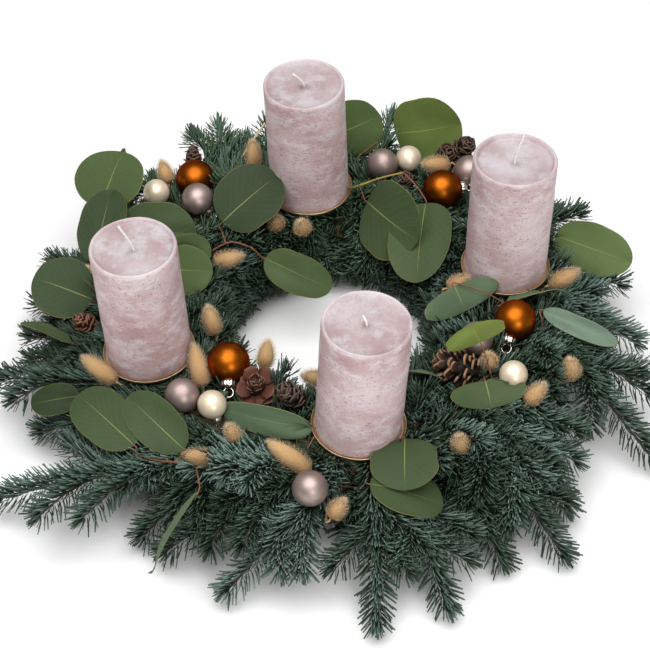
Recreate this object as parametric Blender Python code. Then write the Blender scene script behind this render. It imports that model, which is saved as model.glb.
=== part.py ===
"""An advent wreath: fir bound on a straw ring, with eucalyptus, four pillar candles on
spiked plates, glass baubles, cones and bunny tail grass.

The tables are in millimetres and degrees. A place is (angle, radius, height): the angle
round the wreath from +X, the distance from the ring's axis, and the height above the
surface that the wreath lies on. A direction is a heading, measured like the angle, and a
rise above the level. Meshes are in metres.
"""
import bmesh
import bpy
import numpy as np
from math import acos, asin, cos, pi, radians, sin, sqrt, tan
from mathutils import Matrix, Vector
from mathutils.bvhtree import BVHTree

MM = 0.001
GAP = 0.3                      # left between pieces that touch
WELD = 0.002                   # points closer than this are one
SHIFT = (5.0, 15.0, 0.0)       # the ring's axis from the middle of the whole wreath's box
UP = Vector((0, 0, 1))

# Straw ring: an eight-sided section that the binding wire draws in along each of its turns
RING_RADIUS = 128.0            # to the middle of the section
STRAW_THICK = 50.0             # across the section's flats
CORNERS = 8
COLUMNS = 3                    # lines of corners in each turn of the wire
TURNS = 10
VALLEY = 1.8                   # how far the wire draws the straw in
TOP_OUTER = 4                  # the corner over which the fir's stems lie
WIND_START = 13.5              # angle at which the wire's first turn starts below

WIRE = 0.9                     # diameter of the binding wire
BOUND_STEM = 2.2               # radius of a fir bunch's bound stems
STEM_REACH = STRAW_THICK / 2 / cos(pi / CORNERS) + GAP + BOUND_STEM + 0.1
WIRE_OVER_STEM = STEM_REACH + BOUND_STEM + GAP + WIRE

# Candles and their plates
SEAT = 60.0                    # height of the plates' upper face
CANDLE_RADIUS = 30.0
CANDLE_HEIGHT = 101.7
CANDLE_SIDES = 15
PLATE_RADIUS = 32.6
PLATE_SHEET = 0.8
PLATE_RIM = 2.2
PLATE_SIDES = 12
SPIKE_RADIUS = 1.4
SPIKE_DOWN = 42.0
SPIKE_UP = 13.0
CANDLES = {                    # angle, radius, lean along X and Y, wick: sideways, back and up
    "left": (199.3, 135.2, (-1.87, -0.94), (-8.0, 2.0, 20.0)),
    "front": (278.5, 120.4, (3.15, -2.24), (-3.0, 4.0, 9.0)),
    "right": (14.4, 133.6, (1.35, 0.83), (4.5, 0.0, 24.0)),
    "back": (96.0, 125.5, (-1.11, -0.46), (-8.0, -3.0, 12.0)),
}

# Baubles: diameter by finish, then place and the direction in which the cap points
BAUBLE_SIZES = {"copper": 29.5, "rose": 24.0, "cream": 20.0}
BAUBLE_SIDES = 8
BAUBLE_RINGS = 5
CAP_RADIUS = 4.4
CAP_HEIGHT = 5.0
LOOP_RADIUS = 3.2
LOOP_WIRE = 1.0
PICK = 0.8                     # radius of the wire pick that holds a bauble or a cone
BAUBLES = [
    ("copper_back_left", (127, 167, 64), (-98, -25)),
    ("rose_back_left", (133, 143, 69), (-20, -50)),
    ("cream_back_left", (138, 174, 66), (100, -35)),
    ("rose_back_right", (73, 148, 68), (100, -55)),
    ("cream_back_right", (67, 162, 66), (80, -60)),
    ("copper_back_right", (51, 139, 67), (12, -8)),
    ("rose_right_back", (49, 166, 70), (50, -50)),
    ("copper_right", (-14, 135, 70), (-95, -25)),
    ("rose_right", (-25, 113, 68), (120, -50)),
    ("cream_right", (-33, 150, 66), (20, -60)),
    ("copper_front_left", (-137, 97, 68), (-91, -25)),
    ("rose_front_left", (-137, 140, 67), (-120, -60)),
    ("cream_front_left", (-128, 134, 66), (-60, -60)),
    ("rose_front", (-95, 179, 64), (60, -40)),
]

# Cones of each cluster: place of the foot, heading, rise, length, width
CONES = {
    "cone_back_left": [((123.4, 186, 54), 95, 45, 19, 15)],
    "cone_pair_back_right": [
        ((58.5, 177, 62), -70, 62, 15, 13),
        ((55.5, 182, 66), -40, 65, 17, 15),
    ],
    "cone_pair_back": [((64.5, 146, 55), -110, 60, 15, 13), ((59, 164, 50), 80, 60, 14, 12)],
    "cone_left": [((185, 170, 54), 200, 50, 20, 15)],
    "cone_open_front": [((-121.5, 97, 55), -110, 60, 18, 24)],
    "cone_front": [((-102.5, 96, 57), 200, 35, 22, 19)],
    "cone_right": [((-36.5, 125, 62), 165, 9, 31, 26)],
}
CONE_SIDES = 6
CONE_ROWS = 5

# Eucalyptus: the stem's course, then each leaf's foot, heading, rise, roll, length, width
LEAF_THICK = 0.7
LEAF_CUP = 0.07                # how far the rib lies below the margins, of the width
LEAF_DROOP = 0.05              # how far the blade arches, of its length
LEAF_SHIFT = 7.0               # the most that a whole leaf gives way; past it the blade bends
LEAF_STATIONS = ((0.12, 0.68), (0.45, 1.0), (0.84, 0.74))   # along the rib, share of the width
STEM_RADIUS = 1.1
PETIOLE_RADIUS = 0.8
TWIGS = {
    "eucalyptus_left": (
        [(205, 156, 47), (196, 172, 52), (184, 182, 54), (172, 180, 57), (160, 178, 60)],
        [
            ((150, 198, 68), 64, 31, -13, 47, 62),
            ((165, 184, 60), 78, 25, -8, 60, 37),
            ((155, 168, 66), -8, 4, 44, 57, 46),
            ((178, 174, 62), 165, 15, -26, 45, 46),
            ((-169, 184, 60), 152, -3, 48, 44, 26),
        ],
    ),
    "eucalyptus_inner_left": (
        [(160, 108, 55), (153, 104, 59), (147, 100, 63), (141, 92, 67), (137, 78, 66)],
        [
            ((161, 131, 60), 1, 26, 60, 40, 30),
            ((164, 126, 62), -16, 9, 46, 38, 36),
            ((136, 110, 70), 32, 24, 17, 55, 51),
            ((135, 67, 60), -16, -15, 45, 53, 30),
        ],
    ),
    "eucalyptus_front_left": (
        [(-113, 156, 46), (-118, 172, 54), (-124, 184, 57), (-132, 190, 59), (-145, 194, 55)],
        [
            ((-155, 195, 52), 177, -16, -36, 37, 24),
            ((-135, 189, 62), 137, 2, -58, 60, 36),
            ((-125, 172, 62), 141, 12, -58, 55, 35),
            ((-119, 196, 56), -130, -45, 63, 58, 14),
        ],
    ),
    "eucalyptus_front": (
        [(-107, 154, 47), (-99, 150, 53), (-91, 160, 52), (-80, 165, 49), (-72, 156, 53)],
        [
            ((-96, 135, 61), 167, 7, -69, 62, 24),
            ((-67.5, 144, 60), -96, -18, -9, 46, 47),
            ((-82, 162, 40), -21, -5, 35, 50, 28),
        ],
    ),
    "eucalyptus_back": (
        [(88, 152, 47), (82, 142, 56), (76, 132, 68), (68, 132, 78), (59, 131, 79)],
        [
            ((88, 178, 64), 0, 27, 67, 40, 45),
            ((73, 183, 66), -11, 17, 76, 54, 58),
            ((78, 111, 64), -51, -4, 49, 62, 48),
            ((50, 124, 75), -101, -12, 12, 72, 46),
        ],
    ),
    "eucalyptus_right": (
        [(25, 160, 47), (17, 175, 52), (6, 171, 52), (-3, 152, 54), (-5, 134, 57)],
        [
            ((20, 181, 60), -30, 2, 50, 61, 38),
            ((-2, 93, 73), -79, -40, 3, 26, 56),
            ((-4, 122, 64), 7, 5, -46, 44, 15),
        ],
    ),
    "eucalyptus_front_right": (
        [(-52, 108, 51), (-45, 136, 54), (-35, 143, 56), (-26, 152, 58), (-14, 157, 60)],
        [
            ((-7, 155, 64), -26, -8, 58, 56, 24),
            ((-34, 124, 85), 149, 63, -66, 20, 44),
            ((-39, 137, 63), -80, -20, 1, 24, 42),
            ((-52, 84, 57), -25, -4, -44, 19, 18),
        ],
    ),
}

# Bunny tails: the course that the stems share, then each head's foot, heading, rise, length
TAIL_RADIUS = 5.6
TAIL_SIDES = 4
TAIL_STEM = 0.8
INNER_COURSE = (113.0, 52.2)   # radius and height along the ring's inner shoulder
OUTER_COURSE = (152.5, 47.0)   # the same on its outer shoulder
TAILS = {
    "bunny_tails_inner_left": (INNER_COURSE, [
        ((114, 90, 58), -155, 75, 12), ((103, 78, 58), -156, 74, 12),
        ((151, 98, 56), 9, 10, 23), ((-160, 87, 58), 112, 58, 21),
    ]),
    "bunny_tails_outer_left": (OUTER_COURSE, [
        ((111, 157, 62), 91, 47, 20), ((132, 181, 58), 114, 40, 17),
        ((174, 176, 58), 96, 43, 16), ((-154, 172, 57), 145, 16, 29),
    ]),
    "bunny_tails_front": (OUTER_COURSE, [
        ((-118, 146, 50), 122, 25, 13), ((-118.6, 169, 51), 176, 3, 19),
        ((-95.5, 159, 57), 144, 12, 36), ((-91, 188, 45), 30, 44, 15),
    ]),
    "bunny_tails_inner_front": (INNER_COURSE, [
        ((-138, 120, 58), 104, 30, 31), ((-128, 77, 56), 66, 65, 20),
        ((-93, 79, 61), 174, 15, 15),
    ]),
    "bunny_tails_inner_right": (INNER_COURSE, [
        ((3, 85, 66), 20, 18, 17), ((-31, 131, 56), 127, 69, 12),
    ]),
    "bunny_tails_right": (OUTER_COURSE, [
        ((55, 166, 71), -166, 15, 22), ((5, 159, 58), 23, 13, 25),
        ((-23, 184, 52), -158, 76, 19), ((-37, 167, 57), 38, 26, 18),
        ((-58, 164, 54), -149, 78, 15),
    ]),
}

# Fir: bunches of 41 degrees round the ring; each sprig's start angle and the place of its tip
BUNCH_HALF = 20.5
NEEDLE_LENGTH = 17.0
NEEDLE_FOOT = 1.8              # length of a needle's foot along the twig
NEEDLE_LEAN = 52.0             # a needle's angle from its twig
NEEDLE_CLEAR = 0.45
PITCH = 13.6                   # mean distance between whorls of three; they close up to the tip
TWIG_RADIUS = 1.9
TWIG_TIP = 1.1
HOLE_RADIUS = 79.0             # the needles stay outside this
SPRIGS = {
    "fir_bunch_left": (180, [
        (192, (182, 216, 38)), (197, (185, 217, 24)), (179, (168, 222, 18)),
        (168, (158, 224, 26)), (190, (188, 90, 32)), (170, (172, 92, 44)),
        (183, (176, 176, 76)),
    ]),
    "fir_bunch_front_left": (-135, [
        (-121, (-148, 268, 18)), (-152, (-170, 238, 30)), (-118, (-127, 215, 12)),
        (-145, (-159, 219, 15)), (-142, (-148, 90, 34)), (-117, (-122, 90, 34)),
        (-131, (-133, 205, 38)),
    ]),
    "fir_bunch_front": (-90, [
        (-94, (-121, 220, 15)), (-89, (-108, 231, 13)), (-101, (-121, 182, 63)),
        (-80, (-84, 249, 11)), (-74, (-73, 247, 11)), (-107, (-106, 91, 34)),
        (-88, (-84, 89, 44)), (-71, (-66, 93, 48)),
    ]),
    "fir_bunch_front_right": (-45, [
        (-52, (-52, 247, 11)), (-32, (-45, 224, 15)), (-37, (-56, 214, 30)),
        (-60, (-61, 228, 10)), (-56, (-60, 88, 38)), (-57, (-56, 174, 70)),
    ]),
    "fir_bunch_right": (0, [
        (-12, (-27, 248, 15)), (-8, (-16, 233, 26)), (6, (-4, 221, 28)),
        (16, (10, 217, 35)), (-17, (-21, 88, 36)), (8, (2, 88, 40)),
        (-17, (-24, 168, 72)),
    ]),
    "fir_bunch_back_right": (45, [
        (28, (25, 206, 60)), (38, (36, 217, 24)), (48, (47, 220, 18)),
        (60, (60, 219, 20)), (57, (53, 88, 40)), (36, (31, 88, 42)),
        (27, (31, 160, 74)),
    ]),
    "fir_bunch_back": (90, [
        (76, (75, 202, 66)), (86, (82, 219, 22)), (108, (103, 196, 68)),
        (94, (95, 220, 18)), (99, (98, 88, 36)), (78, (73, 88, 40)),
    ]),
    "fir_bunch_back_left": (135, [
        (121, (113, 216, 73)), (126, (118, 226, 58)), (133, (128, 222, 24)),
        (148, (144, 224, 20)), (144, (136, 90, 40)), (122, (118, 96, 44)),
        (118, (110, 178, 70)),
    ]),
}

FINISHES = {                   # colour, roughness, metallic
    "straw": ((0.55, 0.42, 0.20), 0.9, 0.0),
    "green_wire": ((0.05, 0.12, 0.06), 0.5, 0.6),
    "brass": ((0.72, 0.56, 0.34), 0.35, 0.9),
    "wax": ((0.66, 0.48, 0.47), 0.6, 0.0),
    "cotton": ((0.88, 0.86, 0.80), 0.9, 0.0),
    "copper": ((0.45, 0.16, 0.03), 0.35, 0.7),
    "rose": ((0.47, 0.35, 0.32), 0.38, 0.5),
    "cream": ((0.78, 0.68, 0.52), 0.35, 0.3),
    "silver": ((0.80, 0.79, 0.76), 0.25, 1.0),
    "bark": ((0.16, 0.08, 0.05), 0.85, 0.0),
    "eucalyptus": ((0.10, 0.20, 0.10), 0.55, 0.0),
    "bunny_tail": ((0.72, 0.52, 0.32), 0.9, 0.0),
    "fir": ((0.06, 0.14, 0.11), 0.6, 0.0),
}


def place(angle, radius, height):
    """A point by its angle and distance round the ring's axis and its height."""
    turn = radians(angle)
    return Vector((radius * cos(turn), radius * sin(turn), height)) * MM


def aim(heading, rise):
    """The unit vector of a heading and a rise."""
    return Vector((
        cos(radians(heading)) * cos(radians(rise)),
        sin(radians(heading)) * cos(radians(rise)),
        sin(radians(rise)),
    ))


def upright_to(direction):
    """The turn that takes +Z to a direction."""
    return direction.to_track_quat("Z", "Y").to_matrix().to_4x4()


def clear_scene():
    for obj in list(bpy.data.objects):
        bpy.data.objects.remove(obj)


def finish_of(name):
    """The material with one of the finishes above, made once."""
    if name in bpy.data.materials:
        return bpy.data.materials[name]
    colour, roughness, metallic = FINISHES[name]
    material = bpy.data.materials.new(name)
    material.use_nodes = True
    shader = material.node_tree.nodes["Principled BSDF"]
    shader.inputs["Base Color"].default_value = (*colour, 1)
    shader.inputs["Roughness"].default_value = roughness
    shader.inputs["Metallic"].default_value = metallic
    return material


def add_object(name, shape, finish):
    """Turns a bmesh into a named object, with its faces pointing out."""
    bmesh.ops.recalc_face_normals(shape, faces=shape.faces)
    if shape.calc_volume(signed=True) < 0:
        bmesh.ops.reverse_faces(shape, faces=shape.faces)
    mesh = bpy.data.meshes.new(name)
    shape.to_mesh(mesh)
    shape.free()
    mesh.materials.append(finish_of(finish))
    mesh.shade_smooth()
    mesh.set_sharp_from_angle(angle=radians(35))
    obj = bpy.data.objects.new(name, mesh)
    obj.location = Vector(SHIFT) * MM
    bpy.context.scene.collection.objects.link(obj)
    return obj


def combine(target, tools, operation):
    """Joins the tools to the target, or cuts them from it, and removes the tools."""
    group = bpy.data.collections.new(target.name + "_tools")
    bpy.context.scene.collection.children.link(group)
    for tool in tools:
        bpy.context.scene.collection.objects.unlink(tool)
        group.objects.link(tool)
    step = target.modifiers.new("combine", "BOOLEAN")
    step.operation = operation
    step.solver = "MANIFOLD"
    step.operand_type = "COLLECTION"
    step.collection = group
    evaluated = target.evaluated_get(bpy.context.evaluated_depsgraph_get())
    mesh = bpy.data.meshes.new_from_object(evaluated)
    target.modifiers.clear()
    target.data = mesh
    for tool in list(group.objects):
        bpy.data.objects.remove(tool)
    bpy.data.collections.remove(group)
    tidy(mesh)
    return target


def tidy(mesh):
    """Mends what a Boolean left open, doubled or flat, and keeps the largest body."""
    shape = bmesh.new()
    shape.from_mesh(mesh)
    for _ in range(6):
        bmesh.ops.remove_doubles(shape, verts=shape.verts, dist=WELD * MM)
        bmesh.ops.dissolve_degenerate(shape, edges=shape.edges, dist=3 * WELD * MM)
        bmesh.ops.triangulate(shape, faces=shape.faces)
        alike = {}
        for face in shape.faces:
            alike.setdefault(frozenset(face.verts), []).append(face)
        flaps = [face for faces in alike.values() if len(faces) > 1 for face in faces]
        bmesh.ops.delete(shape, geom=flaps, context="FACES")
        loose = [edge for edge in shape.edges if not edge.link_faces]
        bmesh.ops.delete(shape, geom=loose, context="EDGES")
        torn = [edge for edge in shape.edges if len(edge.link_faces) != 2]
        if not torn:
            break
        around = {face for edge in torn for face in edge.link_faces}
        bmesh.ops.delete(shape, geom=list(around), context="FACES")
        bmesh.ops.holes_fill(shape, edges=[edge for edge in shape.edges if edge.is_boundary])
    for scrap in islands(shape)[:-1]:
        bmesh.ops.delete(shape, geom=scrap, context="FACES")
    shape.to_mesh(mesh)
    shape.free()
    mesh.shade_smooth()
    mesh.set_sharp_from_angle(angle=radians(35))


def islands(shape):
    """The groups of faces that are joined over edges, smallest first."""
    left = set(shape.faces)
    groups = []
    for start in shape.faces:
        if start not in left:
            continue
        left.remove(start)
        group = [start]
        for face in group:
            for edge in face.edges:
                for other in edge.link_faces:
                    if other in left:
                        left.remove(other)
                        group.append(other)
        groups.append(group)
    return sorted(groups, key=len)


class Placed:
    """What is in place already, so that what comes later can be bent clear of it."""

    def __init__(self, start=None, guards=()):
        self.points = list(start.points) if start else []
        self.faces = list(start.faces) if start else []
        self.tree = BVHTree.FromPolygons(self.points, self.faces) if start else None
        for guard in guards:
            self.add(guard)

    def add(self, obj):
        first = len(self.points)
        self.points += [vert.co.copy() for vert in obj.data.vertices]
        self.faces += [[first + i for i in face.vertices] for face in obj.data.polygons]
        self.tree = BVHTree.FromPolygons(self.points, self.faces)
        return obj

    def push(self, point, need):
        """The move that takes a point out to `need` from every solid, or None."""
        hit, normal, _, distance = self.tree.find_nearest(point)
        away = point - hit
        if distance < 0.001 * MM:
            return normal * need
        if away.dot(normal) < 0 and distance < 40 * MM and self.inside(point):
            return away * (-(distance + need) / distance)
        if distance >= need:
            return None
        return away * ((need - distance) / distance)

    def inside(self, point):
        """Whether a slightly slanted line up from a point leaves a solid."""
        way = Vector((0.0131, 0.0077, 1)).normalized()
        crossings = 0
        while True:
            hit, _, _, _ = self.tree.ray_cast(point, way)
            if hit is None:
                return crossings % 2 == 1
            crossings += 1
            point = hit + way * 0.001 * MM

    def free(self, point, need):
        return self.push(point, need) is None

    def open_line(self, start, end):
        """Whether nothing stands between two points."""
        return self.tree.ray_cast(start, end - start, (end - start).length)[0] is None


def bend_clear(course, need, placed, held=1, last=0):
    """Moves a course's points out of what is in place, all but the first `held` and the
    last `last`, until the stretches between them are clear too."""
    points = [point.copy() for point in course]
    for _ in range(150):
        moves = [Vector() for _ in points]
        for i in range(len(points) - 1):
            for t in (0, 0.2, 0.4, 0.6, 0.8, 1):
                move = placed.push(points[i].lerp(points[i + 1], t), need)
                if move:
                    moves[i] += move * (1 - t) * 0.5
                    moves[i + 1] += move * t * 0.5
        if not any(move.length > 0 for move in moves):
            break
        for i in range(held, len(points) - last):
            points[i] += moves[i].normalized() * min(moves[i].length * 1.5, 1.5 * MM)
            points[i].z = max(points[i].z, need)
    return points


def settle(samples, placed):
    """The shift that takes a piece clear of what is in place. Each sample is a point of the
    piece and the room that it needs."""
    shift = Vector()
    for _ in range(60):
        moves = [placed.push(point + shift, need) for point, need in samples]
        moves = [move for move in moves if move]
        if not moves:
            break
        shift += max(moves, key=lambda move: move.length) * 0.6
    return shift


def spread(course, pitch):
    """Points about `pitch` apart on a smooth curve through a course."""
    ends = [course[0] * 2 - course[1], *course, course[-1] * 2 - course[-2]]
    points = [course[0]]
    for a, b, c, d in zip(ends, ends[1:], ends[2:], ends[3:]):
        steps = max(1, round((c - b).length / (pitch * MM)))
        for i in range(1, steps + 1):
            t = i / steps
            bent = (b * 2 + (c - a) * t + (a * 2 - b * 5 + c * 4 - d) * t * t
                    + (b * 3 - a - c * 3 + d) * t ** 3)
            points.append(bent / 2)
    return points


def frames(course):
    """At each point of a course its tangent and two normals, carried along without a twist."""
    side = None
    result = []
    for i, point in enumerate(course):
        ahead = course[min(i + 1, len(course) - 1)] - course[max(i - 1, 0)]
        ahead.normalize()
        if side is None:
            side = ahead.cross(UP if abs(ahead.z) < 0.9 else Vector((1, 0, 0)))
        side = (side - ahead * side.dot(ahead)).normalized()
        result.append((ahead, side, ahead.cross(side)))
    return result


def bristled(course, radii, sides, turns=None, raise_point=None):
    """A closed tube along a course, some of whose faces are raised into points.

    turns[i] turns ring i by a share of a side. raise_point(i, corners, outward, ahead)
    gives the point that a face after ring i is raised to, or None to leave it flat.
    """
    shape = bmesh.new()
    rings = []
    axes = frames(course)
    for i, (point, (_, side, across)) in enumerate(zip(course, axes)):
        turn = turns[i] if turns else 0
        ring = []
        for k in range(sides):
            angle = 2 * pi * (k + turn) / sides
            ring.append(shape.verts.new(point + (side * cos(angle) + across * sin(angle)) * radii[i]))
        rings.append(ring)
    for i in range(len(rings) - 1):
        for k in range(sides):
            n = (k + 1) % sides
            face = shape.faces.new((rings[i][k], rings[i][n], rings[i + 1][n], rings[i + 1][k]))
            if raise_point is None:
                continue
            corners = [vert.co.copy() for vert in face.verts]
            outward = sum(corners, Vector()) / 4 - (course[i] + course[i + 1]) / 2
            tip = raise_point(i, corners, outward.normalized(), axes[i][0])
            if tip is not None:
                poked = bmesh.ops.poke(shape, faces=[face])
                poked["verts"][0].co = tip
    shape.faces.new(rings[0])
    shape.faces.new(rings[-1])
    return shape


def turned(profile, sides):
    """A solid turned about Z from a profile of (radius, height) that starts and ends on it."""
    shape = bmesh.new()
    verts = [shape.verts.new((radius * MM, 0, height * MM)) for radius, height in profile]
    edges = [shape.edges.new(pair) for pair in zip(verts, verts[1:])]
    bmesh.ops.spin(shape, geom=verts + edges, axis=(0, 0, 1), cent=(0, 0, 0),
                   angle=2 * pi, steps=sides, use_merge=True)
    bmesh.ops.remove_doubles(shape, verts=shape.verts, dist=0.01 * MM)
    return shape


def straw_point(column, corner, reach=None):
    """A corner of the straw's section. A line of corners winds once round the section in
    each turn of the wire, and every third line is the valley that the wire lies in."""
    turn = radians(WIND_START) + (column / COLUMNS + corner / CORNERS) * 2 * pi / TURNS
    slope = 2 * pi * (corner - 2.5) / CORNERS
    if reach is None:
        reach = STRAW_THICK / 2 / cos(pi / CORNERS) - (VALLEY if column % COLUMNS == 0 else 0)
    radius = RING_RADIUS + reach * cos(slope)
    height = STRAW_THICK / 2 + reach * sin(slope)
    return Vector((radius * cos(turn), radius * sin(turn), height)) * MM


def straw_ring(placed):
    """The straw ring, with a hole for each plate's spike. It rests on the flats below."""
    shape = bmesh.new()
    count = TURNS * COLUMNS
    grid = [[shape.verts.new(straw_point(j, i)) for i in range(CORNERS)] for j in range(count)]
    for j in range(count):
        for i in range(CORNERS):
            loop = [(j, i), (j + 1, i), (j + 1, i + 1), (j, i + 1)]
            # past the last corner a line goes on as the one that starts a turn later
            shape.faces.new([
                grid[(a + (COLUMNS if b == CORNERS else 0)) % count][b % CORNERS] for a, b in loop
            ])
    ring = add_object("straw_ring", shape, "straw")
    holes = []
    for name in CANDLES:
        hole = turned([(0, -SPIKE_DOWN - 2), (SPIKE_RADIUS + 1.0, 0), (0, 1)], 6)
        hole.transform(candle_stand(name))
        holes.append(add_object("hole_" + name, hole, "straw"))
    combine(ring, holes, "DIFFERENCE")
    return placed.add(ring)


def binding_wire(placed):
    """The wire that binds the fir: ten turns round the straw, lifted over the fir's stems."""
    shape = bmesh.new()
    rings = []
    for turn in range(TURNS):
        for corner in range(CORNERS):
            reach = STRAW_THICK / 2 / cos(pi / CORNERS) - VALLEY + GAP + WIRE / 2 + 0.2
            if corner == TOP_OUTER:
                reach = WIRE_OVER_STEM
            middle = straw_point(turn * COLUMNS, corner, reach)
            outward = (straw_point(turn * COLUMNS, corner, reach + 1) - middle).normalized()
            along = Vector((-middle.y, middle.x, 0)).normalized()
            rings.append([
                shape.verts.new(middle + (along * cos(a) + outward * sin(a)) * WIRE / 2 * MM)
                for a in (pi / 2, pi * 7 / 6, pi * 11 / 6)
            ])
    for ring, after in zip(rings, rings[1:] + rings[:1]):
        for k in range(3):
            n = (k + 1) % 3
            shape.faces.new((ring[k], ring[n], after[n], after[k]))
    return placed.add(add_object("binding_wire", shape, "green_wire"))


def candle_stand(name):
    """Where a candle stands: the middle of its plate's upper face, leaning as it does."""
    angle, radius, lean, _ = CANDLES[name]
    axis = Vector((tan(radians(lean[0])), tan(radians(lean[1])), 1)).normalized()
    return Matrix.Translation(place(angle, radius, SEAT)) @ upright_to(axis)


def candle_plate(name, placed):
    """A pressed metal plate with a turned-up rim, a spike into the straw and one into the wax."""
    shape = turned([
        (0, -SPIKE_DOWN),
        (SPIKE_RADIUS, -PLATE_SHEET),
        (PLATE_RADIUS - PLATE_SHEET, -PLATE_SHEET),
        (PLATE_RADIUS, PLATE_RIM),
        (PLATE_RADIUS - PLATE_SHEET, PLATE_RIM),
        (PLATE_RADIUS - 1.5 * PLATE_SHEET, 0),
        (SPIKE_RADIUS, 0),
        (0, SPIKE_UP),
    ], PLATE_SIDES)
    shape.transform(candle_stand(name))
    return placed.add(add_object("candle_plate_" + name, shape, "brass"))


def candle(name, placed):
    """A pillar of wax with a low rim, a hole below for the spike and one above for the wick."""
    shape = turned([
        (0, GAP + SPIKE_UP + 2),
        (SPIKE_RADIUS + 0.6, GAP),
        (CANDLE_RADIUS, GAP),
        (CANDLE_RADIUS, CANDLE_HEIGHT - 1.4),
        (CANDLE_RADIUS - 1.6, CANDLE_HEIGHT),
        (CANDLE_RADIUS - 4, CANDLE_HEIGHT - 1.8),
        (1.3, CANDLE_HEIGHT - 2.4),
        (1.3, CANDLE_HEIGHT - 12),
        (0, CANDLE_HEIGHT - 12),
    ], CANDLE_SIDES)
    shape.transform(candle_stand(name))
    return placed.add(add_object("candle_" + name, shape, "wax"))


def wick(name, placed):
    """The cotton wick, standing in its hole and bent above the wax."""
    sideways, back, up = CANDLES[name][3]
    foot = Vector((0, 0, CANDLE_HEIGHT - 11.6))
    mouth = Vector((0, 0, CANDLE_HEIGHT - 1.2))
    tip = mouth + Vector((sideways, back, up))
    course = [foot * MM, mouth * MM, (mouth * 0.55 + tip * 0.45 + UP * 1.5) * MM, tip * MM]
    shape = bristled(course, [0.7 * MM] * 4, 4)
    shape.transform(candle_stand(name))
    return placed.add(add_object("wick_" + name, shape, "cotton"))


def pick(piece, start, placed, base):
    """Adds the wire pick that holds a bauble or a cone: from inside it to the straw or to
    the bound stems or, where something else is in the way, to that."""
    end = base.tree.find_nearest(start)[0]
    points = [start.lerp(end, k / 12) for k in range(13)]
    if not all(placed.free(p, (PICK + GAP) * MM) for p in points if (p - end).length > 3 * MM):
        end = placed.tree.find_nearest(start)[0]
    end -= (end - start).normalized() * 1.1 * GAP * MM
    rod = bristled([start, end], [PICK * MM] * 2, 3)
    combine(piece, [add_object("rod", rod, "silver")], "UNION")


def bauble(name, centre, pointing, placed, base):
    """A glass ball. A copper one ends in a flat neck under its own cap; on the small ones
    the cap, which is hidden, is part of the ball."""
    finish = name.split("_")[0]
    radius = BAUBLE_SIZES[finish] / 2
    neck = CAP_RADIUS - 0.4 if finish == "copper" else CAP_RADIUS * 0.8
    last = acos(neck / radius)
    rings = [-pi / 2 + (last + pi / 2) * i / BAUBLE_RINGS for i in range(BAUBLE_RINGS + 1)]
    profile = [(radius * cos(a) if i else 0, radius * sin(a)) for i, a in enumerate(rings)]
    if finish != "copper":
        profile.append((neck, radius + CAP_HEIGHT * 0.6))
    profile.append((0, profile[-1][1]))
    middle = place(*centre)
    way = aim(*pointing) * MM
    samples = [(middle, (radius + GAP) * MM), (middle + way * (radius + 1.5), 3.6 * MM)]
    if finish == "copper":
        samples += [(middle + way * (radius + 3), 5 * MM), (middle + way * (radius + 7), 4 * MM)]
    middle += settle(samples, placed)
    seat = Matrix.Translation(middle) @ upright_to(aim(*pointing))
    shape = turned(profile, BAUBLE_SIDES)
    shape.transform(seat)
    ball = add_object("bauble_" + name, shape, finish)
    pick(ball, middle, placed, base)
    placed.add(ball)
    if finish == "copper":
        bauble_cap(name, seat, radius * sin(last) + GAP, placed)


def bauble_cap(name, seat, height, placed):
    """A silver cap with the wire loop that it hangs by."""
    shape = turned([
        (0, height), (CAP_RADIUS, height), (CAP_RADIUS, height + CAP_HEIGHT * 0.7),
        (CAP_RADIUS * 0.5, height + CAP_HEIGHT), (0, height + CAP_HEIGHT),
    ], 6)
    shape.transform(seat)
    cap = add_object("bauble_cap_" + name, shape, "silver")
    middle = height + CAP_HEIGHT + LOOP_RADIUS * 0.8
    loop = bmesh.new()
    ring = [
        loop.verts.new((
            (LOOP_RADIUS + LOOP_WIRE / 2 * cos(a)) * MM, LOOP_WIRE / 2 * sin(a) * MM, middle * MM
        ))
        for a in (0, pi * 2 / 3, pi * 4 / 3)
    ]
    edges = [loop.edges.new(pair) for pair in zip(ring, ring[1:] + ring[:1])]
    bmesh.ops.spin(loop, geom=ring + edges, axis=(0, 1, 0), cent=(0, 0, middle * MM),
                   angle=2 * pi, steps=7, use_merge=True)
    loop.transform(seat)
    combine(cap, [add_object("loop", loop, "silver")], "UNION")
    placed.add(cap)


def cone_shape(foot, heading, rise, length, width, shift):
    """A cone: rows of scales on a spindle, each row turned by half a scale."""
    axis = aim(heading, rise)
    stations = [i / CONE_ROWS for i in range(CONE_ROWS + 1)]
    course = [place(*foot) + shift + axis * length * s * MM for s in stations]
    core = [width * MM * 0.36 * sqrt(max(0.06, sin(pi * (0.12 + 0.86 * s)))) for s in stations]

    def scale_tip(i, corners, outward, ahead):
        spread_out = 0.30 * sin(pi * (0.25 + 0.7 * stations[i]))
        lift = outward * spread_out * width + ahead * 0.13 * length
        return sum(corners, Vector()) / 4 + lift * MM

    turns = [i / 2 for i in range(CONE_ROWS + 1)]
    return bristled(course, core, CONE_SIDES, turns, scale_tip)


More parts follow.
